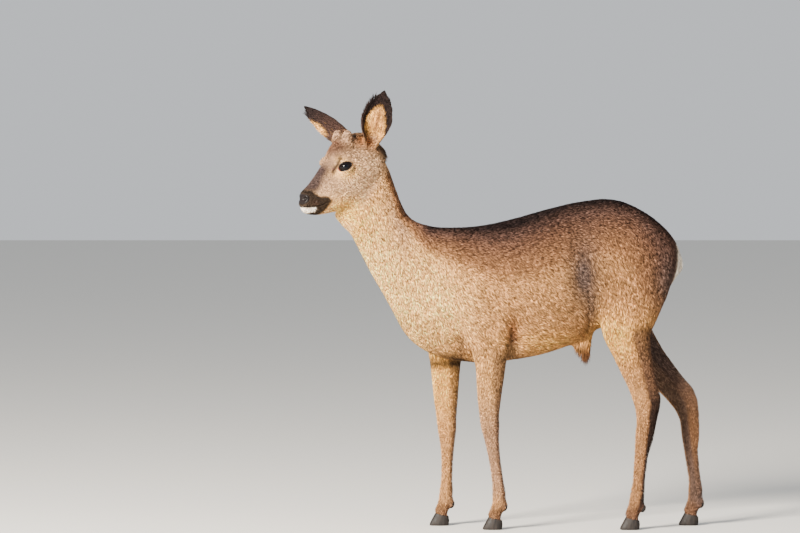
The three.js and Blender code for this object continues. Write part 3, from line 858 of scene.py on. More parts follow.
NOSE_OUTLINE = [
    (-0.210, -0.056), (-0.192, -0.0565), (-0.179, -0.0605), (-0.1745, -0.066),
    (-0.1765, -0.0745), (-0.184, -0.0805), (-0.192, -0.0855), (-0.210, -0.0855),
]
MASK_OUTLINE = [
    (-0.210, -0.034), (-0.186, -0.0415), (-0.176, -0.0525), (-0.168, -0.053),
    (-0.1615, -0.0595), (-0.1527, -0.065), (-0.1444, -0.064), (-0.1328, -0.0655),
    (-0.1240, -0.0725), (-0.1290, -0.080), (-0.1320, -0.087), (-0.1375, -0.094),
    (-0.1444, -0.101), (-0.153, -0.106), (-0.165, -0.112), (-0.210, -0.112),
]
BRIDGE_OUTLINE = [
    (-0.215, -0.050), (-0.160, -0.055), (-0.150, -0.046), (-0.1445, -0.034), (-0.139, -0.016),
    (-0.136, 0.007), (-0.128, 0.033), (-0.100, 0.070), (-0.215, 0.070),
]
CHIN_OUTLINE = [
    (-0.210, -0.0875), (-0.1865, -0.0878), (-0.161, -0.0875), (-0.1585, -0.091),
    (-0.161, -0.0960), (-0.174, -0.0980), (-0.210, -0.0985),
]
EAR_CREAM = [
    (-0.010, 0.015), (-0.017, 0.028), (-0.0205, 0.040), (-0.020, 0.053), (-0.015, 0.067),
    (-0.007, 0.079), (0.001, 0.085), (0.007, 0.079), (0.012, 0.068), (0.017, 0.056),
    (0.020, 0.042), (0.021, 0.022), (0.020, 0.004), (0.005, 0.000),
]


EAR_STREAKS = [(0.004, 0.0050, 0.95), (-0.008, 0.0026, 0.7), (0.016, 0.0034, 0.8)]
EAR_FADES = {
    "outside": (-0.30, 0.10), "far cream": (0.15, 0.30), "root of a streak": (0.05, 0.25),
    "end of a streak": (0.5, 0.72), "umber": (0.3, 0.8), "tawny": (0.0, 0.25), "far edge": (0.0260, 0.0305),
}
EAR_AMOUNTS = {"umber": 0.4, "tawny": 0.35, "far edge": 0.9, "narrowing": 0.5}
SOFT_EDGES = {"nose": 0.0012, "bridge": 0.007, "mask": 0.0030, "chin": 0.0022, "cream": 0.004}
BROW = {"fade": (-0.030, 0.020), "amount": 0.75}
LIP_SHINE = {"centre": (-0.162, 0.016, -0.077), "reach": (0.010, 0.02, 0.005), "amount": 0.4}
BRIDGE_AMOUNT, MASK_AMOUNT, GROOVE_AMOUNT = 0.95, 0.96, 0.9


def one_colour(colour, points):
    """The same colour at all points."""
    return np.array(colour) * np.ones((len(points), 1))


def layered(colour, paint, amount):
    """Paint over a colour, as thick as the amount."""
    return colour + (np.array(paint) - colour) * amount[:, None]


def blended(colour, hair, amount):
    return layered(colour, HAIR[hair], amount)


def marked(colour, marks, points, full, share=1):
    """Lays soft marks on the colour one after the other."""
    for hair, at, reach, strength in marks:
        colour = blended(colour, hair, (mound(points, at, reach) * full).clip(0, 1) * strength * share)
    return colour


def nose_pad(points):
    """1 on the bare leather of the nose."""
    return within(to_head(points)[:, [0, 2]], NOSE_OUTLINE, SOFT_EDGES["nose"]) * regions(points)["head"]


def paint_head(colour, points):
    local = mirrored(to_head(points))
    colour = marked(colour, HEAD_MARKS, local, FULL_FACE_MARK)
    side = local[:, [0, 2]]
    fading = 1 - BROW["amount"] * ramp(local[:, 2], *BROW["fade"])
    # the bridge: its own darker hair with painted shade on the front of the face
    bridge = within(side, BRIDGE_OUTLINE, SOFT_EDGES["bridge"])
    colour = blended(colour, "smoke", BRIDGE_AMOUNT * bridge * fading)
    colour = blended(colour, "black", MASK_AMOUNT * within(side, MASK_OUTLINE, SOFT_EDGES["mask"]))
    shine = mound(local, LIP_SHINE["centre"], LIP_SHINE["reach"])
    colour = blended(colour, "umber", LIP_SHINE["amount"] * shine)
    colour = blended(colour, "white", within(side, CHIN_OUTLINE, SOFT_EDGES["chin"]))
    colour = blended(colour, "black", within(side, NOSE_OUTLINE, SOFT_EDGES["nose"]))
    grooves = np.maximum(mouth_line(local), drawn(local, FOLD, FOLD_PAINT))
    return blended(colour, "black", GROOVE_AMOUNT * grooves)


def inside_of_ear(q, side):
    """Cream fur with russet streaks."""
    share = q[:, 2] / EAR_LENGTH
    cream = within(q[:, [0, 2]], EAR_CREAM, SOFT_EDGES["cream"])
    if side == "right":
        cream = cream * ramp(share, *EAR_FADES["far cream"])
    colour = blended(one_colour(HAIR["saddle"], q), "cream", cream)
    for across, wide, deep in EAR_STREAKS:
        off = (q[:, 0] - across * (1 - EAR_AMOUNTS["narrowing"] * share)) / wide
        streak = np.exp(-(off ** 2)) * ramp(share, *EAR_FADES["root of a streak"])
        end = 1 - ramp(share, *EAR_FADES["end of a streak"])
        colour = blended(colour, "russet", deep * streak * cream * end)
    return colour


def back_of_ear(q, side):
    """Nearly black, browner towards the root; the far ear shows a pale edge."""
    share = q[:, 2] / EAR_LENGTH
    colour = one_colour(HAIR["saddle"], q)
    for hair in ("umber", "tawny"):
        colour = blended(colour, hair, EAR_AMOUNTS[hair] * (1 - ramp(share, *EAR_FADES[hair])))
    if side == "right":
        edge = EAR_AMOUNTS["far edge"] * ramp(q[:, 0], *EAR_FADES["far edge"])
        colour = blended(colour, "cream", edge * (1 - ramp(share, *EAR_FADES["end of a streak"])))
    return colour


def paint_ears(colour, points, normals, where):
    for side in EARS:
        q = to_ear(points, side)
        own = where["ears"] * around_ear(q)
        outside = ramp((normals @ head_axes().T @ ear_axes(side).T)[:, 1], *EAR_FADES["outside"])
        ear = inside_of_ear(q, side) * (1 - outside)[:, None] + back_of_ear(q, side) * outside[:, None]
        colour = colour * (1 - own)[:, None] + ear * own[:, None]
    return colour


LEG_PAINT = {
    "forearm": ("brindle", 0.7, (0.75, 0.9)),
    "thigh": ("sand", 0.75, (0.36, 0.52)),
    "elbow": ("sand", 0.35, (0.45, 0.65)),
    # the back of the hind leg: painted shade on the side turned from the light
    "back of the leg": ("tawny", 0.6, (-0.014, 0.016)),
    "shank": ("tawny", 0.65, (0.56, 0.70)),
    "toes": ("chestnut", 0.75, (0.84, 0.97)),
}
LEG_SHADE = {"front": (0.15, 0.75), "behind": (0.003, 0.015), "far": 0.9, "fore": 0.75, "hind": 0.85}
# painted shadow of the body and near leg on the far hind leg
FAR_LEG_SHADOW = {"amount": 0.85, "turn": (0.1, 0.7), "end": (0.85, 1.0), "end amount": 0.6}
# painted light on the back of the far hock
FAR_HOCK_LIGHT = {"at": 0.67, "reach": 0.09, "behind": (0.0, 0.008), "amount": 0.85}
# painted shade on the rear edge of the near hind leg
REAR_EDGE_SHADE = {"behind": (0.006, 0.012), "from": (0.52, 0.62), "amount": 0.9}
REAR_TOES = {"from": (0.90, 0.98), "more": 0.4}
# painted shadow of the chest on the far foreleg
BRISKET_SHADOW = {"height": 0.350, "reach": 0.012, "right of": (-0.03, 0.0), "amount": 0.85}
BETWEEN_LEGS = 0.1


def leg_back(points):
    """How far behind the middle of its leg a point lies."""
    back = np.zeros(len(points))
    for name, line in LEGS.items():
        x, z = np.array(line).T
        own = (points[:, 1] < 0) == name.endswith("left")
        own &= (points[:, 0] > BETWEEN_LEGS) == name.startswith("hind")
        back = np.where(own, points[:, 0] - np.interp(-points[:, 2], -z, x), back)
    return back


def leg_colour(colour, name, on, value, leaves=False):
    """One of the legs' colours, which comes in, or leaves, over its span of the value."""
    hair, amount, span = LEG_PAINT[name]
    rise = ramp(value, *span)
    return blended(colour, hair, amount * on * (1 - rise if leaves else rise))


def band(value, at, reach):
    """1 at a value, falling off smoothly to both sides."""
    return np.exp(-(((value - at) / reach) ** 2))


def paint_legs(colour, points, normals, where):
    share, leg, behind = where["share"], where["leg"], leg_back(points)
    hind, right = leg * (points[:, 0] > BETWEEN_LEGS), points[:, 1] > 0
    fore = leg - hind
    colour = blended(colour, "fawn", leg)
    colour = leg_colour(colour, "forearm", fore * ~right, share, leaves=True)
    colour = leg_colour(colour, "thigh", hind, share, leaves=True)
    colour = leg_colour(colour, "elbow", fore * (1 + right), share, leaves=True)
    # painted shade on the back of the hind legs
    colour = leg_colour(colour, "back of the leg", hind, behind)
    colour = leg_colour(colour, "shank", hind, share)
    turned_back = LEG_SHADE["far"] * ramp(behind, *LEG_SHADE["behind"])
    shaded = np.maximum(ramp(normals[:, 0], *LEG_SHADE["front"]), turned_back)
    shade = LEG_SHADE["fore"] * fore * shaded + LEG_SHADE["hind"] * hind * shaded
    colour = blended(colour, "umber", shade)
    # painted shadow of the body and near leg on the inner side of the far hind leg
    inside = ramp(-normals[:, 1] * np.sign(points[:, 1]), *FAR_LEG_SHADOW["turn"])
    end = 1 - FAR_LEG_SHADOW["end amount"] * ramp(share, *FAR_LEG_SHADOW["end"])
    colour = blended(colour, "slate", FAR_LEG_SHADOW["amount"] * hind * inside * right * end)
    # painted light on the back of the far hock, over its painted shadow
    hock = band(share, FAR_HOCK_LIGHT["at"], FAR_HOCK_LIGHT["reach"]) * ramp(behind, *FAR_HOCK_LIGHT["behind"])
    colour = blended(colour, "tawny", FAR_HOCK_LIGHT["amount"] * hind * hock * right)
    # painted shade on the rear edge of the near hind leg
    edge = ramp(behind, *REAR_EDGE_SHADE["behind"]) * ramp(share, *REAR_EDGE_SHADE["from"])
    edge = edge + REAR_TOES["more"] * ramp(share, *REAR_TOES["from"])
    colour = blended(colour, "saddle", REAR_EDGE_SHADE["amount"] * hind * edge.clip(0, 1) * ~right)
    # painted shadow of the chest across the top of the far foreleg
    brisket_shadow = band(points[:, 2], BRISKET_SHADOW["height"], BRISKET_SHADOW["reach"])
    brisket_shadow = brisket_shadow * ramp(points[:, 1], *BRISKET_SHADOW["right of"])
    colour = blended(colour, "saddle", BRISKET_SHADOW["amount"] * fore * brisket_shadow)
    return leg_colour(colour, "toes", leg, share)


def back_hair_and_shade(below):
    """The coat's colour by its depth below the line of the back: darker hair, made nearly black there by
    painted shade.
    """
    steps = [depth for depth, hair in BACK_HAIR_AND_SHADE]
    colours = np.array([HAIR[hair] for depth, hair in BACK_HAIR_AND_SHADE]).T
    return np.column_stack([np.interp(below, steps, part) for part in colours])


def coat_colour(points, normals):
    """The coat's colour at points of the skin, as linear red, green and blue."""
    where = regions(points)
    side = mirrored(points)
    body = (1 - where["head"]).clip(0, 1)
    colour = marked(one_colour(HAIR["fawn"], points), LIGHT_MARKS, side, FULL_MARK, body)
    # The band along the back: darker hair with painted shade over it.
    reach_x, reach = np.array(BACK_REACH).T
    below = line_gap(points[:, [0, 2]], TOP_LINE)[0] / np.interp(points[:, 0], reach_x, reach)
    fade = (1 - ramp(below, *BACK_FADE)) * body * (1 - where["leg"])
    colour = colour + (back_hair_and_shade(below) - colour) * fade[:, None]
    # dark marks, most of them painted shade in creases, hollows and under the brisket
    colour = marked(colour, SHADE_AND_DARK_MARKS, side, FULL_MARK, body)
    patch = mound(points, RUMP["centre"], RUMP["reach"])
    colour = blended(colour, "white", ramp(patch, *RUMP["edge"]) * body)
    colour = paint_legs(colour, points, normals, where)
    face = paint_head(one_colour(HAIR["ash"], points), points)
    colour = colour + (face - colour) * where["head"][:, None]
    return paint_ears(colour, points, normals, where)


print(len(HAIR), "hair colours,", len(LIGHT_MARKS + SHADE_AND_DARK_MARKS + HEAD_MARKS), "marks")

# %% [markdown]
# ## Unwrapping and painting the skin
# The skin's faces are laid out flat so that a baked picture of its colours fits it, and each lock takes
# its own small place on the same layout, at its root. The paint itself is stored on the points.

# %% The skin's layout and paint
COAT_MAP = "OFBake"
SKIN_SHADE = 0.62
LID_AREA = (0.024, 0.030, 0.022)
BARE_NOSE = (0.178, 0.184)
UNWRAP = {"angle_limit": math.radians(66), "island_margin": 0.001}


def paint_points(mesh, colours):
    layer = mesh.color_attributes.new("coat", "FLOAT_COLOR", "POINT")
    with_alpha = np.column_stack([colours, np.ones(len(colours))])
    layer.data.foreach_set("color", with_alpha.astype(np.float32).ravel())


open_edit(skin)
bpy.ops.uv.smart_project(**UNWRAP)
close_edit()
skin.data.uv_layers[0].name = COAT_MAP
bpy.ops.object.shade_smooth()
skin_points, skin_normals = points_of(skin), normals_of(skin)
skin_head = to_head(skin_points)
bare = mound(mirrored(skin_head), np.abs(EYE) * (-1, 1, -1), LID_AREA)
bare = ramp(-skin_head[:, 0], *BARE_NOSE) + bare
bare = (regions(skin_points)["head"] * bare).clip(0, 1)[:, None]
skin_colours = coat_colour(skin_points, skin_normals)
paint_points(skin.data, skin_colours * (SKIN_SHADE + (1 - SKIN_SHADE) * bare))
print("skin laid out with", len(skin.data.uv_layers), "map and painted at", len(skin_points), "points")

# %% [markdown]
# ## One lock of hair
# A lock is a bundle of hairs that cling together and end in a point. It grows out of a point too, is
# widest at its bend and has three sides, so it is closed and casts a shadow, and yet is only six
# triangles. It is modelled once and then laid more than two hundred thousand times.

# %% The lock
LOCK_BEND, LOCK_RADIUS, LOCK_FLAT = 0.42, 0.52, 0.55
ROOT_LEVEL, TIP_LEVEL = 0.1, 0.9
A_HAIR = 0.01


def make_lock():
    bpy.ops.object.select_all(action="DESELECT")
    bpy.ops.mesh.primitive_cone_add(vertices=3, radius1=0.0, radius2=LOCK_RADIUS, depth=LOCK_BEND,
                                    location=(0, 0, LOCK_BEND / 2))
    lock = bpy.context.object
    bpy.ops.object.transform_apply(location=True, rotation=True, scale=True)
    edit_faces(lock, middles_of(lock)[:, 2] > LOCK_BEND - A_HAIR)
    bpy.ops.mesh.extrude_region_move(TRANSFORM_OT_translate={"value": (0, 0, 1 - LOCK_BEND)})
    bpy.ops.mesh.merge(type="CENTER")
    bpy.ops.mesh.select_all(action="SELECT")
    bpy.ops.mesh.quads_convert_to_tris()
    close_edit()
    shape = read(lock.data.vertices, "co", 3).astype(float)
    faces = read(lock.data.polygons, "vertices", 3, np.int32)
    bpy.data.objects.remove(lock)
    return shape, faces


LOCK_POINTS, LOCK_FACES = make_lock()
LOCK_POINTS[:, 1] *= LOCK_FLAT
print("one lock:", len(LOCK_POINTS), "points,", len(LOCK_FACES), "faces")

# %% [markdown]
# ## Laying the coat
# Roots are scattered evenly over the skin, closer where the hair is finer. From its root each lock leaves
# the skin at a low angle and follows the surface: its middle and its tip are each
# brought back to the skin and lifted to the coat's depth there. Nothing is laid on the nose, the line of
# the mouth, the eye and the fold before it, nor where the skin runs on inside the horn.

# %% Roots
LOCKS_PER_CM2 = {"trunk": 28.0, "neck": 31.0, "leg": 33.0, "head": 60.0, "ears": 50.0}
CM2_PER_M2 = 1e4
BARE = {"half": 0.5, "fold": 0.4, "eye": 0.022, "lids": 1.13}


def skin_triangles():
    skin.data.calc_loop_triangles()
    triangles = skin.data.loop_triangles
    corners = read(triangles, "vertices", 3, np.int32)
    loops = read(triangles, "loops", 3, np.int32)
    return corners, loops


def scatter_roots():
    """Roots on the skin: places, normals and the skin's layout there."""
    corners, loops = skin_triangles()
    a, b, c = (skin_points[corners[:, i]] for i in range(3))
    area = np.linalg.norm(np.cross(b - a, c - a), axis=1) / 2
    where = regions((a + b + c) / 3)
    per_cm2 = sum(where[name] * number for name, number in LOCKS_PER_CM2.items())
    number = rng.poisson(area * CM2_PER_M2 * per_cm2)
    face = np.repeat(np.arange(len(area)), number)
    u, v = rng.random(len(face)), rng.random(len(face))
    flip = u + v > 1
    u[flip], v[flip] = 1 - u[flip], 1 - v[flip]
    weights = np.column_stack([1 - u - v, u, v])[:, :, None]
    layout = read(skin.data.uv_layers[COAT_MAP].data, "uv", 2).astype(float)
    root = (skin_points[corners[face]] * weights).sum(1)
    normal = unit((skin_normals[corners[face]] * weights).sum(1))
    return root, normal, (layout[loops[face]] * weights).sum(1)


def in_horn(points):
    """True where the skin runs inside a hoof or dewclaw."""
    inside = np.zeros(len(points), bool)
    for node in HORN_NODES:
        solid = frame["nodes"][node].data
        faces = [list(face.vertices) for face in solid.polygons]
        horn = BVHTree.FromPolygons([point.co for point in solid.vertices], faces)
        low, high = (np.array(corner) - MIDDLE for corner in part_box(node))
        for i in np.flatnonzero(((points > low) & (points < high)).all(1)):
            point = Vector(points[i] + MIDDLE)
            place, normal = horn.find_nearest(point)[:2]
            inside[i] |= (point - place).dot(normal) < 0
    return inside


def has_hair(points):
    local = mirrored(to_head(points))
    head = regions(points)["head"] > BARE["half"]
    nose = nose_pad(points) > BARE["half"]
    fold = drawn(local, FOLD, FOLD_BARE) > BARE["fold"]
    grooves = head & ((mouth_line(local) > BARE["half"]) | fold)
    eye = np.zeros(len(points), bool)
    for side in SIDES.values():
        distance, u, v = lid_place(to_head(points), side)
        eye |= (distance < BARE["eye"]) & (almond(u, v) < BARE["lids"])
    return ~(nose | grooves | eye | in_horn(points))


roots, root_normals, root_layout = scatter_roots()
kept = has_hair(roots)
roots, root_normals, root_layout = roots[kept], root_normals[kept], root_layout[kept]
print(len(roots), "locks")

# %% Length, width and lie of each lock
SPREAD_DEGREES = 10.0
WAVE_DEGREES = 4.0
WAVES, WAVE_SHIFT = ((61, 47, 83), (-38, 90, 52)), 1.3
LENGTHS_VARY, WIDTHS_VARY = (0.75, 1.2), (0.8, 1.2)
BEND_LIFT, TIP_LIFT = (0.58, 0.74), (0.82, 1.04)
ROOT_DEPTH = 0.6 * MM
BRUSH = {"centre": (0.180, 0, 0.384), "reach": (0.042, 0.030, 0.028), "full": 1.5}
NAPE_TUFT = {"centre": (-0.008, 0.028, 0.038), "reach": (0.015, 0.020, 0.024), "full": 1.3}
RIM_SHAPE = {"widest": 0.48, "swell": 1.05, "taper": 1.4, "least": 0.2}
RIM_EDGE, RIM_BACK, RIM_UP = (0.62, 0.95), 0.45, 0.9
TUFT_BACK, TUFT_OUT, TUFT_DOWN = 1.0, 0.5, -0.35
RIM_PULL, BRUSH_HANGS = 0.8, (-0.05, 0, -1)
FREE = {"rim": 0.7, "tuft": 0.6}
LENGTH = {"muzzle": 0.0040, "thigh": 0.0135, "ears": 0.009, "trunk": 0.0165, "neck": 0.0150}
CHEEK = {"more": 0.0055, "from": (-0.14, -0.06)}
CROWN = {"more": 0.004, "from": (0.03, 0.07)}
SHORT_AT_EYE = {"centre": (-0.116, 0.024, -0.002), "reach": (0.020, 0.03, 0.028), "less": 0.8}
SHANK = {"less": 0.0070, "from": (0.35, 0.62)}
HOCK_BRUSH = {"centre": (0.312, -0.06, 0.235), "reach": (0.02, 0.04, 0.03), "more": 0.005}
FETLOCK = {"more": 0.003, "from": (0.86, 0.92), "behind": (0.0, 0.012)}
EAR_FRINGE = {"root": 0.003, "tip": 0.009, "from": (0.55, 0.85)}
BRUSH_LONGER, TUFT_LONGER = 0.65, 0.011
THINNEST, WIDTH_PER_LENGTH = 0.00046, 0.052


def around(points, place):
    """1 at a place's centre, falling off over its reach."""
    return mound(points, place["centre"], place["reach"])


def brush(points):
    """1 on the tuft of the sheath, where the hair hangs free."""
    return (around(points, BRUSH) * BRUSH["full"]).clip(0, 1)


def nape_tuft(points):
    """1 on the dark tuft that stands out behind each ear."""
    return (around(mirrored(to_head(points)), NAPE_TUFT) * NAPE_TUFT["full"]).clip(0, 1)


def ear_rim(points, where):
    """1 along the rims of the ears, whose fringe stands out free, and the way it stands there."""
    rim, way = np.zeros(len(points)), np.zeros((len(points), 3))
    for side in EARS:
        q = to_ear(points, side)
        off = np.abs(q[:, 2] / EAR_LENGTH - RIM_SHAPE["widest"])
        outline = (RIM_SHAPE["swell"] - off * RIM_SHAPE["taper"]).clip(RIM_SHAPE["least"], 1)
        half = EARS[side]["half"] * outline
        own = where["ears"] * (around_ear(q) & (q[:, 2] > EAR_BELOW))
        back_edge = RIM_BACK * (q[:, 0] * (1 if side == "left" else -1) > 0)
        near = own * ramp(np.abs(q[:, 0]) / half, *RIM_EDGE) * (1 - back_edge)
        out = in_space(np.column_stack([np.sign(q[:, 0]), np.full(len(q), RIM_UP)]))
        way = way + unit(out) @ ear_axes(side) @ head_axes() * near[:, None]
        rim = np.maximum(rim, near)
    return rim, way


def standing(points, where):
    """How freely the hair stands on the brush, tufts and ears' rims, and the way it stands there."""
    rim, way = ear_rim(points, where)
    tuft, hanging = nape_tuft(points), brush(points)
    back = np.full((len(points), 3), (TUFT_BACK, TUFT_OUT, TUFT_DOWN))
    back[:, 1] *= np.sign(to_head(points)[:, 1])
    way = way * RIM_PULL + hanging[:, None] * BRUSH_HANGS + tuft[:, None] * (unit(back) @ head_axes())
    return np.max([hanging, FREE["rim"] * rim, FREE["tuft"] * tuft], axis=0)[:, None], way


def lock_sizes(points, where):
    """Length and width of a lock at each root."""
    local = mirrored(to_head(points))
    head = LENGTH["muzzle"] + CHEEK["more"] * ramp(local[:, 0], *CHEEK["from"])
    head = head + CROWN["more"] * ramp(local[:, 2], *CROWN["from"])
    head = head * (1 - SHORT_AT_EYE["less"] * around(local, SHORT_AT_EYE))
    leg = LENGTH["thigh"] - SHANK["less"] * ramp(where["share"], *SHANK["from"])
    leg = leg + HOCK_BRUSH["more"] * around(points, HOCK_BRUSH)
    fetlock = ramp(where["share"], *FETLOCK["from"])
    leg = leg + FETLOCK["more"] * fetlock * ramp(leg_back(points), *FETLOCK["behind"])
    length = where["head"] * head + where["leg"] * leg
    for name in ("ears", "trunk", "neck"):
        length = length + where[name] * LENGTH[name]
    tip = ramp(where["ear_height"] / EAR_LENGTH, *EAR_FRINGE["from"])
    fringe = (EAR_FRINGE["root"] + EAR_FRINGE["tip"] * tip) * ear_rim(points, where)[0]
    length = length * (1 + BRUSH_LONGER * brush(points)) + fringe
    length = length + TUFT_LONGER * nape_tuft(points)
    return length, THINNEST + length * WIDTH_PER_LENGTH


def scatter_way(way, normal, points):
    """Turns each lock a little about its root's normal: by chance, and in slow waves over the coat."""
    wave = np.sin(points @ WAVES[0]) + np.sin(points @ WAVES[1] + WAVE_SHIFT)
    turn = np.radians(rng.normal(0, SPREAD_DEGREES, len(points)) + WAVE_DEGREES * wave)
    return way * np.cos(turn)[:, None] + np.cross(normal, way) * np.sin(turn)[:, None]


def on_skin(points, tree):
    """The nearest points of the skin and its normals there."""
    places, normals = np.empty_like(points), np.empty_like(points)
    for i, point in enumerate(points.tolist()):
        places[i], normals[i] = tree.find_nearest(point)[:2]
    return places, normals


tree = BVHTree.FromPolygons(skin_points.tolist(), skin_triangles()[0].tolist())
where = regions(roots)
length, width = lock_sizes(roots, where)
length *= rng.uniform(*LENGTHS_VARY, len(roots))
width *= rng.uniform(*WIDTHS_VARY, len(roots))
depth = coat_depth(roots, where) + 0.5 * MM
free, free_way = standing(roots, where)
lie = unit(coat_way(roots, root_normals, where) * (1 - free) + free_way)
way = scatter_way(lie, root_normals, roots)
bend, bend_normal = on_skin(roots + way * (length * LOCK_BEND)[:, None], tree)
onward = unit(way - bend_normal * (way * bend_normal).sum(1)[:, None])
tip, tip_normal = on_skin(bend + onward * (length * (1 - LOCK_BEND))[:, None], tree)
bend = bend + bend_normal * (depth * rng.uniform(*BEND_LIFT, len(roots)))[:, None]
tip = tip + tip_normal * (depth * rng.uniform(*TIP_LIFT, len(roots)))[:, None]
bend = bend * (1 - free) + (roots + way * (length * LOCK_BEND)[:, None]) * free
tip = tip * (1 - free) + (roots + way * length[:, None]) * free
print("locks from", round(length.min() / MM, 1), "to", round(length.max() / MM, 1), "mm long")

# %% [markdown]
# The locks become a few joined pieces, one for each part of the animal. Root, bend and tip are shaded
# as the bands of a real winter hair: dark below, and pale towards the tip.

# %% Coat pieces
BANDS = {"root": 0.55, "bend": 0.98, "tip": 1.2}
TICKED, TICKED_TIP = 0.40, 0.28
LOCK_SHADES = {"pale": 0.30, "dark": 0.45, "border": 0.09}
SHADE_LIMITS, BRIGHTEST = (0.4, 2.0), 0.95
CLUMP_CELL, FACE_CELL, CLUMP_CONTRAST = 2.5 * MM, 2.0 * MM, 0.38
CLUMP_TONES = rng.normal(0, 1, 4096)
CLUMP_MIX = np.array([7919, 104729, 1299709])
PATCH = 0.003
PIECE_LIMIT = 32000
TRUNK_THIRDS, HIND_FROM = (0.02, 0.19), 0.1


def lock_points(chosen):
    """The points of the chosen locks, as an array of locks by points by axes."""
    root = roots[chosen] - root_normals[chosen] * ROOT_DEPTH
    middle, end = bend[chosen], tip[chosen]
    first, second = unit(middle - root), unit(end - middle)
    result = np.empty((len(chosen), len(LOCK_POINTS), 3))
    for i, (x, y, z) in enumerate(LOCK_POINTS):
        start, line = (root, first) if z < LOCK_BEND / 2 else (middle, unit(first + second))
        across = unit(np.cross(root_normals[chosen], line))
        out = np.cross(line, across)
        if z > TIP_LEVEL:
            result[:, i] = end
        else:
            result[:, i] = start + (across * x + out * y) * width[chosen][:, None]
    return result


def clump_tone(points, face):
    """A random number for each small cell of the coat, the same for all its locks."""
    cells = np.floor(points / np.where(face, FACE_CELL, CLUMP_CELL)[:, None]).astype(np.int64)
    return CLUMP_TONES[(cells @ CLUMP_MIX) % len(CLUMP_TONES)]


def lock_colours(chosen):
    base = coat_colour(roots[chosen], root_normals[chosen])
    dark = base.mean(1) < LOCK_SHADES["border"]
    spread = np.where(dark, LOCK_SHADES["dark"], LOCK_SHADES["pale"])
    clump = clump_tone(roots[chosen], where["head"][chosen] > BARE["half"])
    shade = np.exp(rng.normal(0, 1, len(chosen)) * spread + CLUMP_CONTRAST * clump)
    shade = shade.clip(*SHADE_LIMITS)[:, None] * base
    bands = np.full((len(chosen), len(LOCK_POINTS)), BANDS["bend"])
    bands[:, LOCK_POINTS[:, 2] < ROOT_LEVEL] = BANDS["root"]
    ticked = rng.random(len(chosen)) < TICKED * (1 - where["ears"][chosen])
    bands[:, LOCK_POINTS[:, 2] > TIP_LEVEL] = np.where(ticked, TICKED_TIP, BANDS["tip"])[:, None]
    return (shade[:, None, :] * bands[:, :, None]).clip(0, BRIGHTEST)


def lock_layout(chosen):
    """Each lock's own patch of the layout, at its root's place."""
    across = np.sign(LOCK_POINTS[:, 0]).round() * (LOCK_POINTS[:, 2] < TIP_LEVEL)
    patch = np.column_stack([across, LOCK_POINTS[:, 2] * 2 - 1]) * (PATCH / 2)
    return root_layout[chosen][:, None, :] + patch[None]


def piece_of_locks(name, points):
    """One smooth piece from an array of locks by points by axes, and the points of its faces."""
    first = (np.arange(len(points)) * len(LOCK_POINTS))[:, None, None]
    faces = (LOCK_FACES[None] + first).reshape(-1, 3)
    mesh = bpy.data.meshes.new(name)
    mesh.vertices.add(len(points) * len(LOCK_POINTS))
    mesh.loops.add(faces.size)
    mesh.loops.foreach_set("vertex_index", faces.ravel())
    mesh.polygons.add(len(faces))
    mesh.polygons.foreach_set("loop_start", np.arange(0, faces.size, 3))
    piece = bpy.data.objects.new(name, mesh)
    bpy.context.scene.collection.objects.link(piece)
    set_points(piece, points.reshape(-1, 3))
    mesh.update(calc_edges=True)
    mesh.polygons.foreach_set("use_smooth", np.ones(len(faces), bool))
    return piece, faces


def coat_piece(name, chosen):
    piece, faces = piece_of_locks(name, lock_points(chosen))
    paint_points(piece.data, lock_colours(chosen).reshape(-1, 3))
    layout = lock_layout(chosen).reshape(-1, 2)[faces.ravel()]
    piece.data.uv_layers.new(name=COAT_MAP).data.foreach_set("uv", layout.astype(np.float32).ravel())
    print(name, len(chosen), "locks")
    return piece


def coat_parts():
    """The part of the animal that each lock belongs to."""
    main = np.array(["trunk", "neck", "leg", "head", "ears"])
    label = main[np.argmax([where[name] for name in main], axis=0)].astype(object)
    x, y = roots[:, 0], roots[:, 1]
    left = np.where(y < 0, "left", "right").astype(object)
    behind = np.where(x < TRUNK_THIRDS[1], "mid", "rear")
    third = np.where(x < TRUNK_THIRDS[0], "fore", behind).astype(object)
    fore = np.where(x < HIND_FROM, "fore", "hind").astype(object)
    label = np.where(label == "trunk", "trunk_" + third + "_" + left, label)
    label = np.where(label == "leg", fore + "_legs_" + left, label)
    return np.where(label == "neck", "neck_" + left, label)


labels = coat_parts()
coat_pieces = []
for part in sorted(set(labels)):
    chosen = np.flatnonzero(labels == part)
    for i, some in enumerate(np.array_split(chosen, math.ceil(len(chosen) / PIECE_LIMIT))):
        coat_pieces.append(coat_piece(f"coat_{part}" + (f"_{i + 1}" if i else ""), some))
print(len(coat_pieces), "coat pieces,", len(roots) * len(LOCK_FACES), "triangles")

# %% [markdown]
# ## Finishes of skin and coat
# Hair is neither matt nor glossy: light slides along it and leaves a soft sheen. The colour comes
# from the points' paint, broken up by fine noise. The skin under it has the same paint and a bump drawn out
# like short hair. The bare end of the nose is wet leather with small round plates.

# %% Materials
def fill(node, **sockets):
    """Sets a node's sockets, whose names have _ for each space."""
    for socket, value in sockets.items():
        node.inputs[socket.replace("_", " ")].default_value = value
    return node


def add(material, kind, **sockets):
    """A new node of the material."""
    return fill(material.node_tree.nodes.new("ShaderNode" + kind), **sockets)


def join(material, output, socket):
    material.node_tree.links.new(output, socket)


def shader_of(material):
    return material.node_tree.nodes["Principled BSDF"]


def new_material(name, roughness, **sockets):
    material = bpy.data.materials.new(name)
    material.use_nodes = True
    fill(shader_of(material), Roughness=roughness, **sockets)
    return material


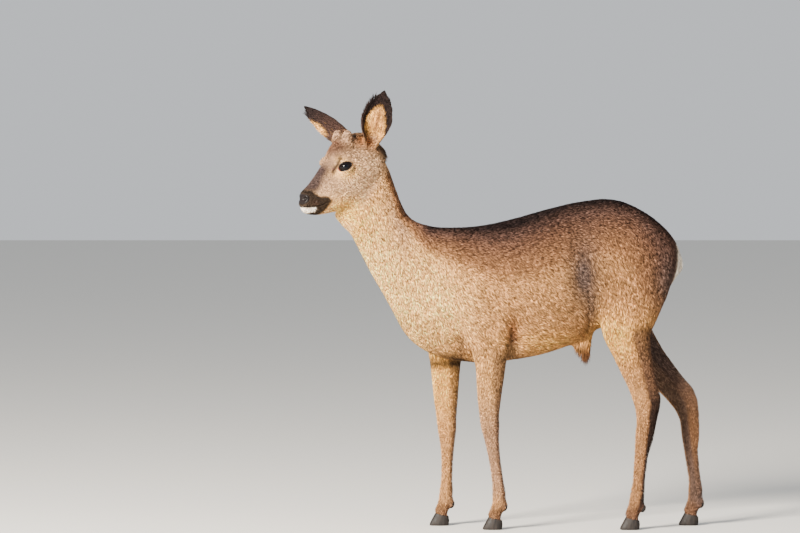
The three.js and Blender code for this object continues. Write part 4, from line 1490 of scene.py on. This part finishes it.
def noise(material, scale, detail, stretch=(1, 1, 1)):
    """Noise on Object coordinates, drawn out along an axis by stretch."""
    place, mapping = add(material, "TexCoord"), add(material, "Mapping", Scale=stretch)
    texture = add(material, "TexNoise", Scale=scale, Detail=detail)
    join(material, place.outputs["Object"], mapping.inputs["Vector"])
    join(material, mapping.outputs["Vector"], texture.inputs["Vector"])
    return texture.outputs["Fac"]


def ranged(material, output, low, high):
    """The middle range of a texture as low to high."""
    span = add(material, "MapRange", From_Min=0.3, From_Max=0.7, To_Min=low, To_Max=high)
    join(material, output, span.inputs["Value"])
    return span.outputs["Result"]


def bump(material, output, strength, distance):
    node = add(material, "Bump", Strength=strength, Distance=distance)
    join(material, output, node.inputs["Height"])
    join(material, node.outputs["Normal"], shader_of(material).inputs["Normal"])


def painted(material, output, low, high):
    """Gives the material the points' paint, made darker and lighter by a texture."""
    paint, mix = add(material, "Attribute"), add(material, "VectorMath")
    paint.attribute_name = "coat"
    mix.operation = "SCALE"
    join(material, paint.outputs["Color"], mix.inputs[0])
    join(material, ranged(material, output, low, high), mix.inputs["Scale"])
    join(material, mix.outputs["Vector"], shader_of(material).inputs["Base Color"])


def painted_material(name, roughness, scale, detail, low, high, **sockets):
    """A material whose paint is broken up by fine noise."""
    material = new_material(name, roughness, **sockets)
    painted(material, noise(material, scale, detail), low, high)
    return material


def skin_material():
    material = new_material("skin_under_coat", roughness=0.75, Specular_IOR_Level=0.08)
    short = noise(material, scale=700, detail=3, stretch=(0.35, 1, 1))
    painted(material, short, low=0.72, high=1.22)
    bump(material, short, strength=0.5, distance=0.8 * MM)
    return material


def nose_material():
    material = new_material("nose_leather", roughness=0.3, Specular_IOR_Level=0.06)
    place, cells = add(material, "TexCoord"), add(material, "TexVoronoi", Scale=900)
    join(material, place.outputs["Object"], cells.inputs["Vector"])
    painted(material, cells.outputs["Distance"], low=0.8, high=1.6)
    bump(material, cells.outputs["Distance"], strength=0.35, distance=0.4 * MM)
    return material


def nose_faces(piece):
    """Puts the leather on the faces of the nose pad and the rims of the nostrils."""
    pad = nose_pad(middles_of(piece)) > BARE["half"]
    piece.data.polygons.foreach_set("material_index", pad.astype(np.int32))
    piece.data.update()
    return int(pad.sum())


skin.data.materials.append(skin_material())
skin.data.materials.append(nose_material())
print("nose leather on", nose_faces(skin), "faces")
coat_finish = painted_material("winter_coat", roughness=0.7, scale=900, detail=1, low=0.80, high=1.2,
                               Sheen_Weight=0.006, Sheen_Roughness=0.5, Specular_IOR_Level=0.05)
for piece in coat_pieces:
    piece.data.materials.append(coat_finish)

# %% [markdown]
# ## The eyes
# A deer's eye is a glassy ball with a bulging cornea. The iris is so dark a brown that it and its
# wide, level pupil can hardly be told apart. The ball is a sphere whose front is pushed out, and the
# iris and pupil are painted on it by how far a point is from its axis. A thin black
# margin runs round the lids, with a rosy corner towards the nose.

# %% Eyeballs
CORNEA = {"reach": 0.0085, "rise": 1.0 * MM}
EYE_PAINT = {
    "white": (0.006, 0.004, 0.003),
    "iris": (0.0034, 0.0022, 0.0020),
    # the pupil's faint blue is a painted reflection
    "pupil": (0.0010, 0.0013, 0.0026),
}
IRIS_RADIUS, IRIS_SOFT = 0.0112, 0.001
PUPIL_HALF, PUPIL_EDGE = (0.0068, 0.0040), (0.85, 1.1)
BALL = {"segments": 64, "ring_count": 40, "radius": EYE_RADIUS - 0.1 * MM}


def make_eye(side, name, finish):
    bpy.ops.object.select_all(action="DESELECT")
    bpy.ops.mesh.primitive_uv_sphere_add(**BALL)
    ball = bpy.context.object
    ball.name = name
    local = read(ball.data.vertices, "co", 3).astype(float)
    off = np.hypot(local[:, 0], local[:, 1])
    front = local[:, 2] > 0
    local[:, 2] += front * CORNEA["rise"] * np.exp(-((off / CORNEA["reach"]) ** 2))
    iris = front * (1 - ramp(off, IRIS_RADIUS - IRIS_SOFT, IRIS_RADIUS))
    colour = layered(one_colour(EYE_PAINT["white"], local), EYE_PAINT["iris"], iris)
    gap = np.hypot(local[:, 0] / PUPIL_HALF[0], local[:, 1] / PUPIL_HALF[1])
    colour = layered(colour, EYE_PAINT["pupil"], front * (1 - ramp(gap, *PUPIL_EDGE)))
    set_points(ball, from_head(local @ eye_axes(side) + EYE * (1, side, 1)))
    if np.linalg.det(eye_axes(side)) < 0:
        open_edit(ball)
        bpy.ops.mesh.flip_normals()
        close_edit()
    paint_points(ball.data, colour)
    ball.data.materials.append(finish)
    only(ball)
    bpy.ops.object.shade_smooth()
    return ball


eye_finish = painted_material("eye_glass", roughness=0.05, scale=600, detail=2, low=0.75, high=1.25,
                              Specular_IOR_Level=0.16, IOR=1.4)
eyeballs = {name: make_eye(side, f"eyeball_{name}", eye_finish) for name, side in SIDES.items()}
print("eyes of", round(EYE_RADIUS * 2 / MM, 1), "mm with a cornea", CORNEA["rise"] / MM, "mm proud")

# %% Lid margins
MARGIN = {"radius": 1.1 * MM, "at": 0.985, "over": 0.55 * MM}
RING = {"major_segments": 96, "minor_segments": 10, "major_radius": 1.0, "minor_radius": 0.1}
CORNER = {"from": (0.93, 1.0), "thicker": 0.9}
MARGIN_PAINT = {"margin": (0.006, 0.004, 0.004), "corner": (0.13, 0.035, 0.03)}


def make_margin(side, name, finish):
    """A ring laid along the almond: its angle round the ring is read back and set on the lid's edge."""
    bpy.ops.object.select_all(action="DESELECT")
    bpy.ops.mesh.primitive_torus_add(**RING)
    ring = bpy.context.object
    ring.name = name
    local = read(ring.data.vertices, "co", 3).astype(float)
    turn = np.arctan2(local[:, 1], local[:, 0])
    u, v = np.cos(turn), np.sin(turn)
    reach = MARGIN["at"] / almond(u, v)
    corner = ramp(np.cos(turn), *CORNER["from"])
    across = (np.hypot(local[:, 0], local[:, 1]) - RING["major_radius"]) / RING["minor_radius"]
    along = MARGIN["radius"] * (1 + CORNER["thicker"] * corner)
    degrees = reach + np.degrees(across * along / EYE_RADIUS)
    distance = EYE_RADIUS + MARGIN["over"] + local[:, 2] / RING["minor_radius"] * MARGIN["radius"]
    set_points(ring, from_head(lid_point(u * degrees, v * degrees, distance, side)))
    open_edit(ring)
    bpy.ops.mesh.normals_make_consistent(inside=False)
    close_edit()
    black = one_colour(MARGIN_PAINT["margin"], local)
    paint_points(ring.data, layered(black, MARGIN_PAINT["corner"], corner))
    ring.data.materials.append(finish)
    bpy.ops.object.shade_smooth()
    return ring


margin_finish = painted_material("lid_margin", roughness=0.35, scale=500, detail=2, low=0.8, high=1.25,
                                 Specular_IOR_Level=0.3)
margins = [make_margin(side, f"lid_margin_{name}", margin_finish) for name, side in SIDES.items()]
print("lid margins", round(MARGIN["radius"] * 2 / MM, 2), "mm thick")

# %% [markdown]
# ## Lashes and whiskers
# Long lashes shade the upper lid, and a few stiff whiskers stand out round the mouth and chin. Each is
# one thin bent cone, which is the lock again, drawn out long.

# %% Thin single hairs
LASHES, WHISKERS = 46, 14
LASH = {"turn": (28, 158), "strays": 2, "at": 1.02, "over": 0.9 * MM, "length": (0.0055, 0.0085)}
LASH_WAY = {"out": (0.35, 0.25, 0.1), "sag": (0.5, 0.4, -0.7)}
LASH_THICK, WHISKER_THICK = 0.28 * MM, 0.22 * MM
WHISKER = {"x": (-0.182, -0.140), "chin share": 0.4, "chin": (-0.098, -0.088), "lip": (-0.074, -0.062)}
WHISKER_WAY = {"outside": 0.03, "back": 0.1, "rise": (-0.5, 0.1), "sag": (0.7, -0.4)}
WHISKER_LENGTH = (0.010, 0.018)
NOT_ALONG = (0.3, 0.2, 1)


def single_hairs(name, starts, ways, sags, lengths, thick):
    """Thin hairs as one piece: each leaves its start along its way and sags towards its second way."""
    ways, sags = ways @ head_axes(), sags @ head_axes()
    result = np.empty((len(starts), len(LOCK_POINTS), 3))
    for i, (x, y, z) in enumerate(LOCK_POINTS):
        line = unit(ways + sags * z)
        across = unit(np.cross(line, NOT_ALONG))
        out = np.cross(line, across)
        along = starts + (ways * z + sags * z * z / 2) * lengths[:, None]
        result[:, i] = along + (across * x + out * y / LOCK_FLAT) * thick * (z < TIP_LEVEL)
    piece = piece_of_locks(name, result)[0]
    paint_points(piece.data, one_colour(HAIR["black"], points_of(piece)))
    piece.data.materials.append(hair_finish)
    return piece


def make_lashes(side, name):
    turn = np.radians(np.linspace(*LASH["turn"], LASHES) + rng.normal(0, LASH["strays"], LASHES))
    u, v = np.cos(turn), np.sin(turn)
    reach = LASH["at"] / almond(u, v)
    start = lid_point(u * reach, v * reach, EYE_RADIUS + LASH["over"], side)
    along, up, rise = LASH_WAY["out"]
    out = unit(np.column_stack([u * along, v * up + rise, np.ones(LASHES)]) @ eye_axes(side))
    along, up, rise = LASH_WAY["sag"]
    sag = np.column_stack([u * along, v * up + rise, np.zeros(LASHES)]) @ eye_axes(side)
    lengths = rng.uniform(*LASH["length"], LASHES)
    return single_hairs(name, from_head(start), out, sag, lengths, LASH_THICK)


def make_whiskers(side, name):
    x = rng.uniform(*WHISKER["x"], WHISKERS)
    low = rng.random(WHISKERS) < WHISKER["chin share"]
    z = np.where(low, rng.uniform(*WHISKER["chin"], WHISKERS), rng.uniform(*WHISKER["lip"], WHISKERS))
    outside = np.full(WHISKERS, side * WHISKER_WAY["outside"])
    start = on_skin(from_head(np.column_stack([x, outside, z])), tree)[0]
    back, rise = np.full(WHISKERS, WHISKER_WAY["back"]), rng.uniform(*WHISKER_WAY["rise"], WHISKERS)
    out = unit(np.column_stack([back, np.full(WHISKERS, side), rise]))
    sag = in_space(np.full((WHISKERS, 2), WHISKER_WAY["sag"]))
    lengths = rng.uniform(*WHISKER_LENGTH, WHISKERS)
    return single_hairs(name, start, out, sag, lengths, WHISKER_THICK)


hair_finish = painted_material("single_hair", roughness=0.45, scale=800, detail=1, low=0.8, high=1.3)
fine_hairs = []
for name, side in SIDES.items():
    fine_hairs.append(make_lashes(side, f"lashes_{name}"))
    fine_hairs.append(make_whiskers(side, f"whiskers_{name}"))
print(len(fine_hairs), "pieces of single hairs")

# %% [markdown]
# ## Hooves
# A roe deer walks on the tips of two toes, each in a pointed hoof of black horn, with two small dewclaws
# higher up behind. Each solid is remeshed finely and eased until its flat faces are gone, and growth
# rings are pressed into the wall. The sole is set flat on the floor again at the end.

# %% Horn
HOOF_VOXEL, CLAW_VOXEL = 0.9 * MM, 0.6 * MM
RING_STEP, RING_DEEP, RING_SLOPE = 2.6 * MM, 0.16 * MM, 0.25
HORN_SWELL, HORN_IN, HORN_ROUNDS = 0.35 * MM, 0.1 * MM, 14
HORN_PAINT = {0.3: (0.0045, 0.0042, 0.0045, 1), 0.75: (0.017, 0.013, 0.011, 1)}


def horn_material():
    material = new_material("horn", roughness=0.5, Specular_IOR_Level=0.15)
    grain = noise(material, scale=260, detail=3, stretch=(1, 1, 0.25))
    tones = add(material, "ValToRGB")
    for stop, (position, colour) in zip(tones.color_ramp.elements, HORN_PAINT.items()):
        stop.position, stop.color = position, colour
    join(material, grain, tones.inputs["Fac"])
    join(material, tones.outputs["Color"], shader_of(material).inputs["Base Color"])
    wear = ranged(material, grain, low=0.45, high=0.7)
    join(material, wear, shader_of(material).inputs["Roughness"])
    bump(material, grain, strength=0.3, distance=0.4 * MM)
    return material


def horn_piece(node, voxel, finish):
    piece = copy_of([node], "horn_" + node, HORN_SWELL)
    finished(piece, "REMESH", mode="VOXEL", voxel_size=voxel, adaptivity=0.0)
    points, edges = points_of(piece), edges_of(piece)
    points = eased(points, edges, np.ones(len(points)), HORN_ROUNDS)
    set_points(piece, points)
    rings = np.sin((points[:, 2] + RING_SLOPE * points[:, 0]) / RING_STEP * 2 * math.pi)
    side = 1 - np.abs(normals_of(piece)[:, 2])
    points = points + normals_of(piece) * (rings * RING_DEEP * side - HORN_IN)[:, None]
    low, high = (np.array(corner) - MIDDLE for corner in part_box(node))
    set_points(piece, np.clip(points, low, high))
    piece.data.materials.append(finish)
    only(piece)
    bpy.ops.object.shade_smooth()
    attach(piece, "root")
    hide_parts(node)
    return len(piece.data.polygons)


horn_finish = horn_material()
horn_faces = 0
for node in HORN_NODES:
    horn_faces += horn_piece(node, HOOF_VOXEL if "hoof" in node else CLAW_VOXEL, horn_finish)
print("hooves and dewclaws of", horn_faces, "faces")

# %% [markdown]
# ## Who stands for what
# The skin takes the place of all the solids of flesh, and the coat rides with it. The eyeballs take
# the places of the eyes. Nothing moves, so everything rides on the one body.

# %% Riding on the form
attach(skin, "root")
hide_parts(*[node for node in FLESH + EAR_NODES + BUTTON_NODES if not node.startswith("eye")])
for piece in coat_pieces:
    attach(piece, "root")
for name, ball in eyeballs.items():
    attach(ball, "root")
    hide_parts(f"eye_{name}")
for piece in margins + fine_hairs:
    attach(piece, "root")

# %% [markdown]
# ## Floor, light and camera
# A plain pale floor and soft light, with the main light high in front of the animal's left side. The
# camera stands far off at the height of the back, with a long lens, as one stands to a shy animal.

# %% Stage
FLOOR_SIZE, FLOOR_LEVEL, FLOOR_PAINT = 40.0, -0.0005, (0.62, 0.61, 0.58, 1)
LIGHTS_AIM = (0, 0, 0.5)
KEY = {"at": (-3.5, -5.2, 2.5), "size": 2.0, "power": 3000.0, "colour": (1.0, 0.91, 0.79)}
FILL = {"at": (3.5, -3.5, 2.2), "size": 4.0, "power": 60.0, "colour": (0.93, 0.96, 1.0)}
AIR = {"colour": (0.90, 0.93, 0.97), "strength": 0.75}


def make_floor():
    bpy.ops.object.select_all(action="DESELECT")
    bpy.ops.mesh.primitive_plane_add(size=FLOOR_SIZE, location=(0, 0, FLOOR_LEVEL))
    floor = bpy.context.object
    floor.name = "floor"
    floor.data.materials.append(new_material("floor_paint", 0.85, Base_Color=FLOOR_PAINT))


def make_light(name, at, size, power, colour):
    light = bpy.data.lights.new(name, "AREA")
    light.shape = "DISK"
    light.size, light.energy, light.color = size, power, colour
    lamp = bpy.data.objects.new(name, light)
    bpy.context.scene.collection.objects.link(lamp)
    lamp.location = at
    lamp.rotation_euler = (Vector(LIGHTS_AIM) - Vector(at)).to_track_quat("-Z", "Y").to_euler()


def make_air():
    world = bpy.data.worlds.new("soft_air")
    world.use_nodes = True
    sky = world.node_tree.nodes["Background"]
    sky.inputs["Color"].default_value = (*AIR["colour"], 1)
    sky.inputs["Strength"].default_value = AIR["strength"]
    bpy.context.scene.world = world


make_floor()
make_light("key", **KEY)
make_light("fill", **FILL)
make_air()
print("stage set")

# %% Camera
AIM = Vector((-0.216, 0.0, 0.550)) + Vector(MIDDLE)
CAMERA_DISTANCE, CAMERA_RISE = 12.0, math.radians(2.0)
VIEW_WIDTH, FILM = 1.684, 36.0

camera_data = bpy.data.cameras.new("camera")
camera_data.sensor_width = FILM
camera_data.lens = FILM * CAMERA_DISTANCE / VIEW_WIDTH
camera_data.clip_end = 200
camera = bpy.data.objects.new("camera", camera_data)
bpy.context.scene.collection.objects.link(camera)
back = Vector((0, -math.cos(CAMERA_RISE), math.sin(CAMERA_RISE)))
camera.location = AIM + back * CAMERA_DISTANCE
camera.rotation_euler = back.to_track_quat("Z", "Y").to_euler()
bpy.context.scene.camera = camera
print("camera", round(camera_data.lens), "mm, at", [round(value, 2) for value in camera.location])
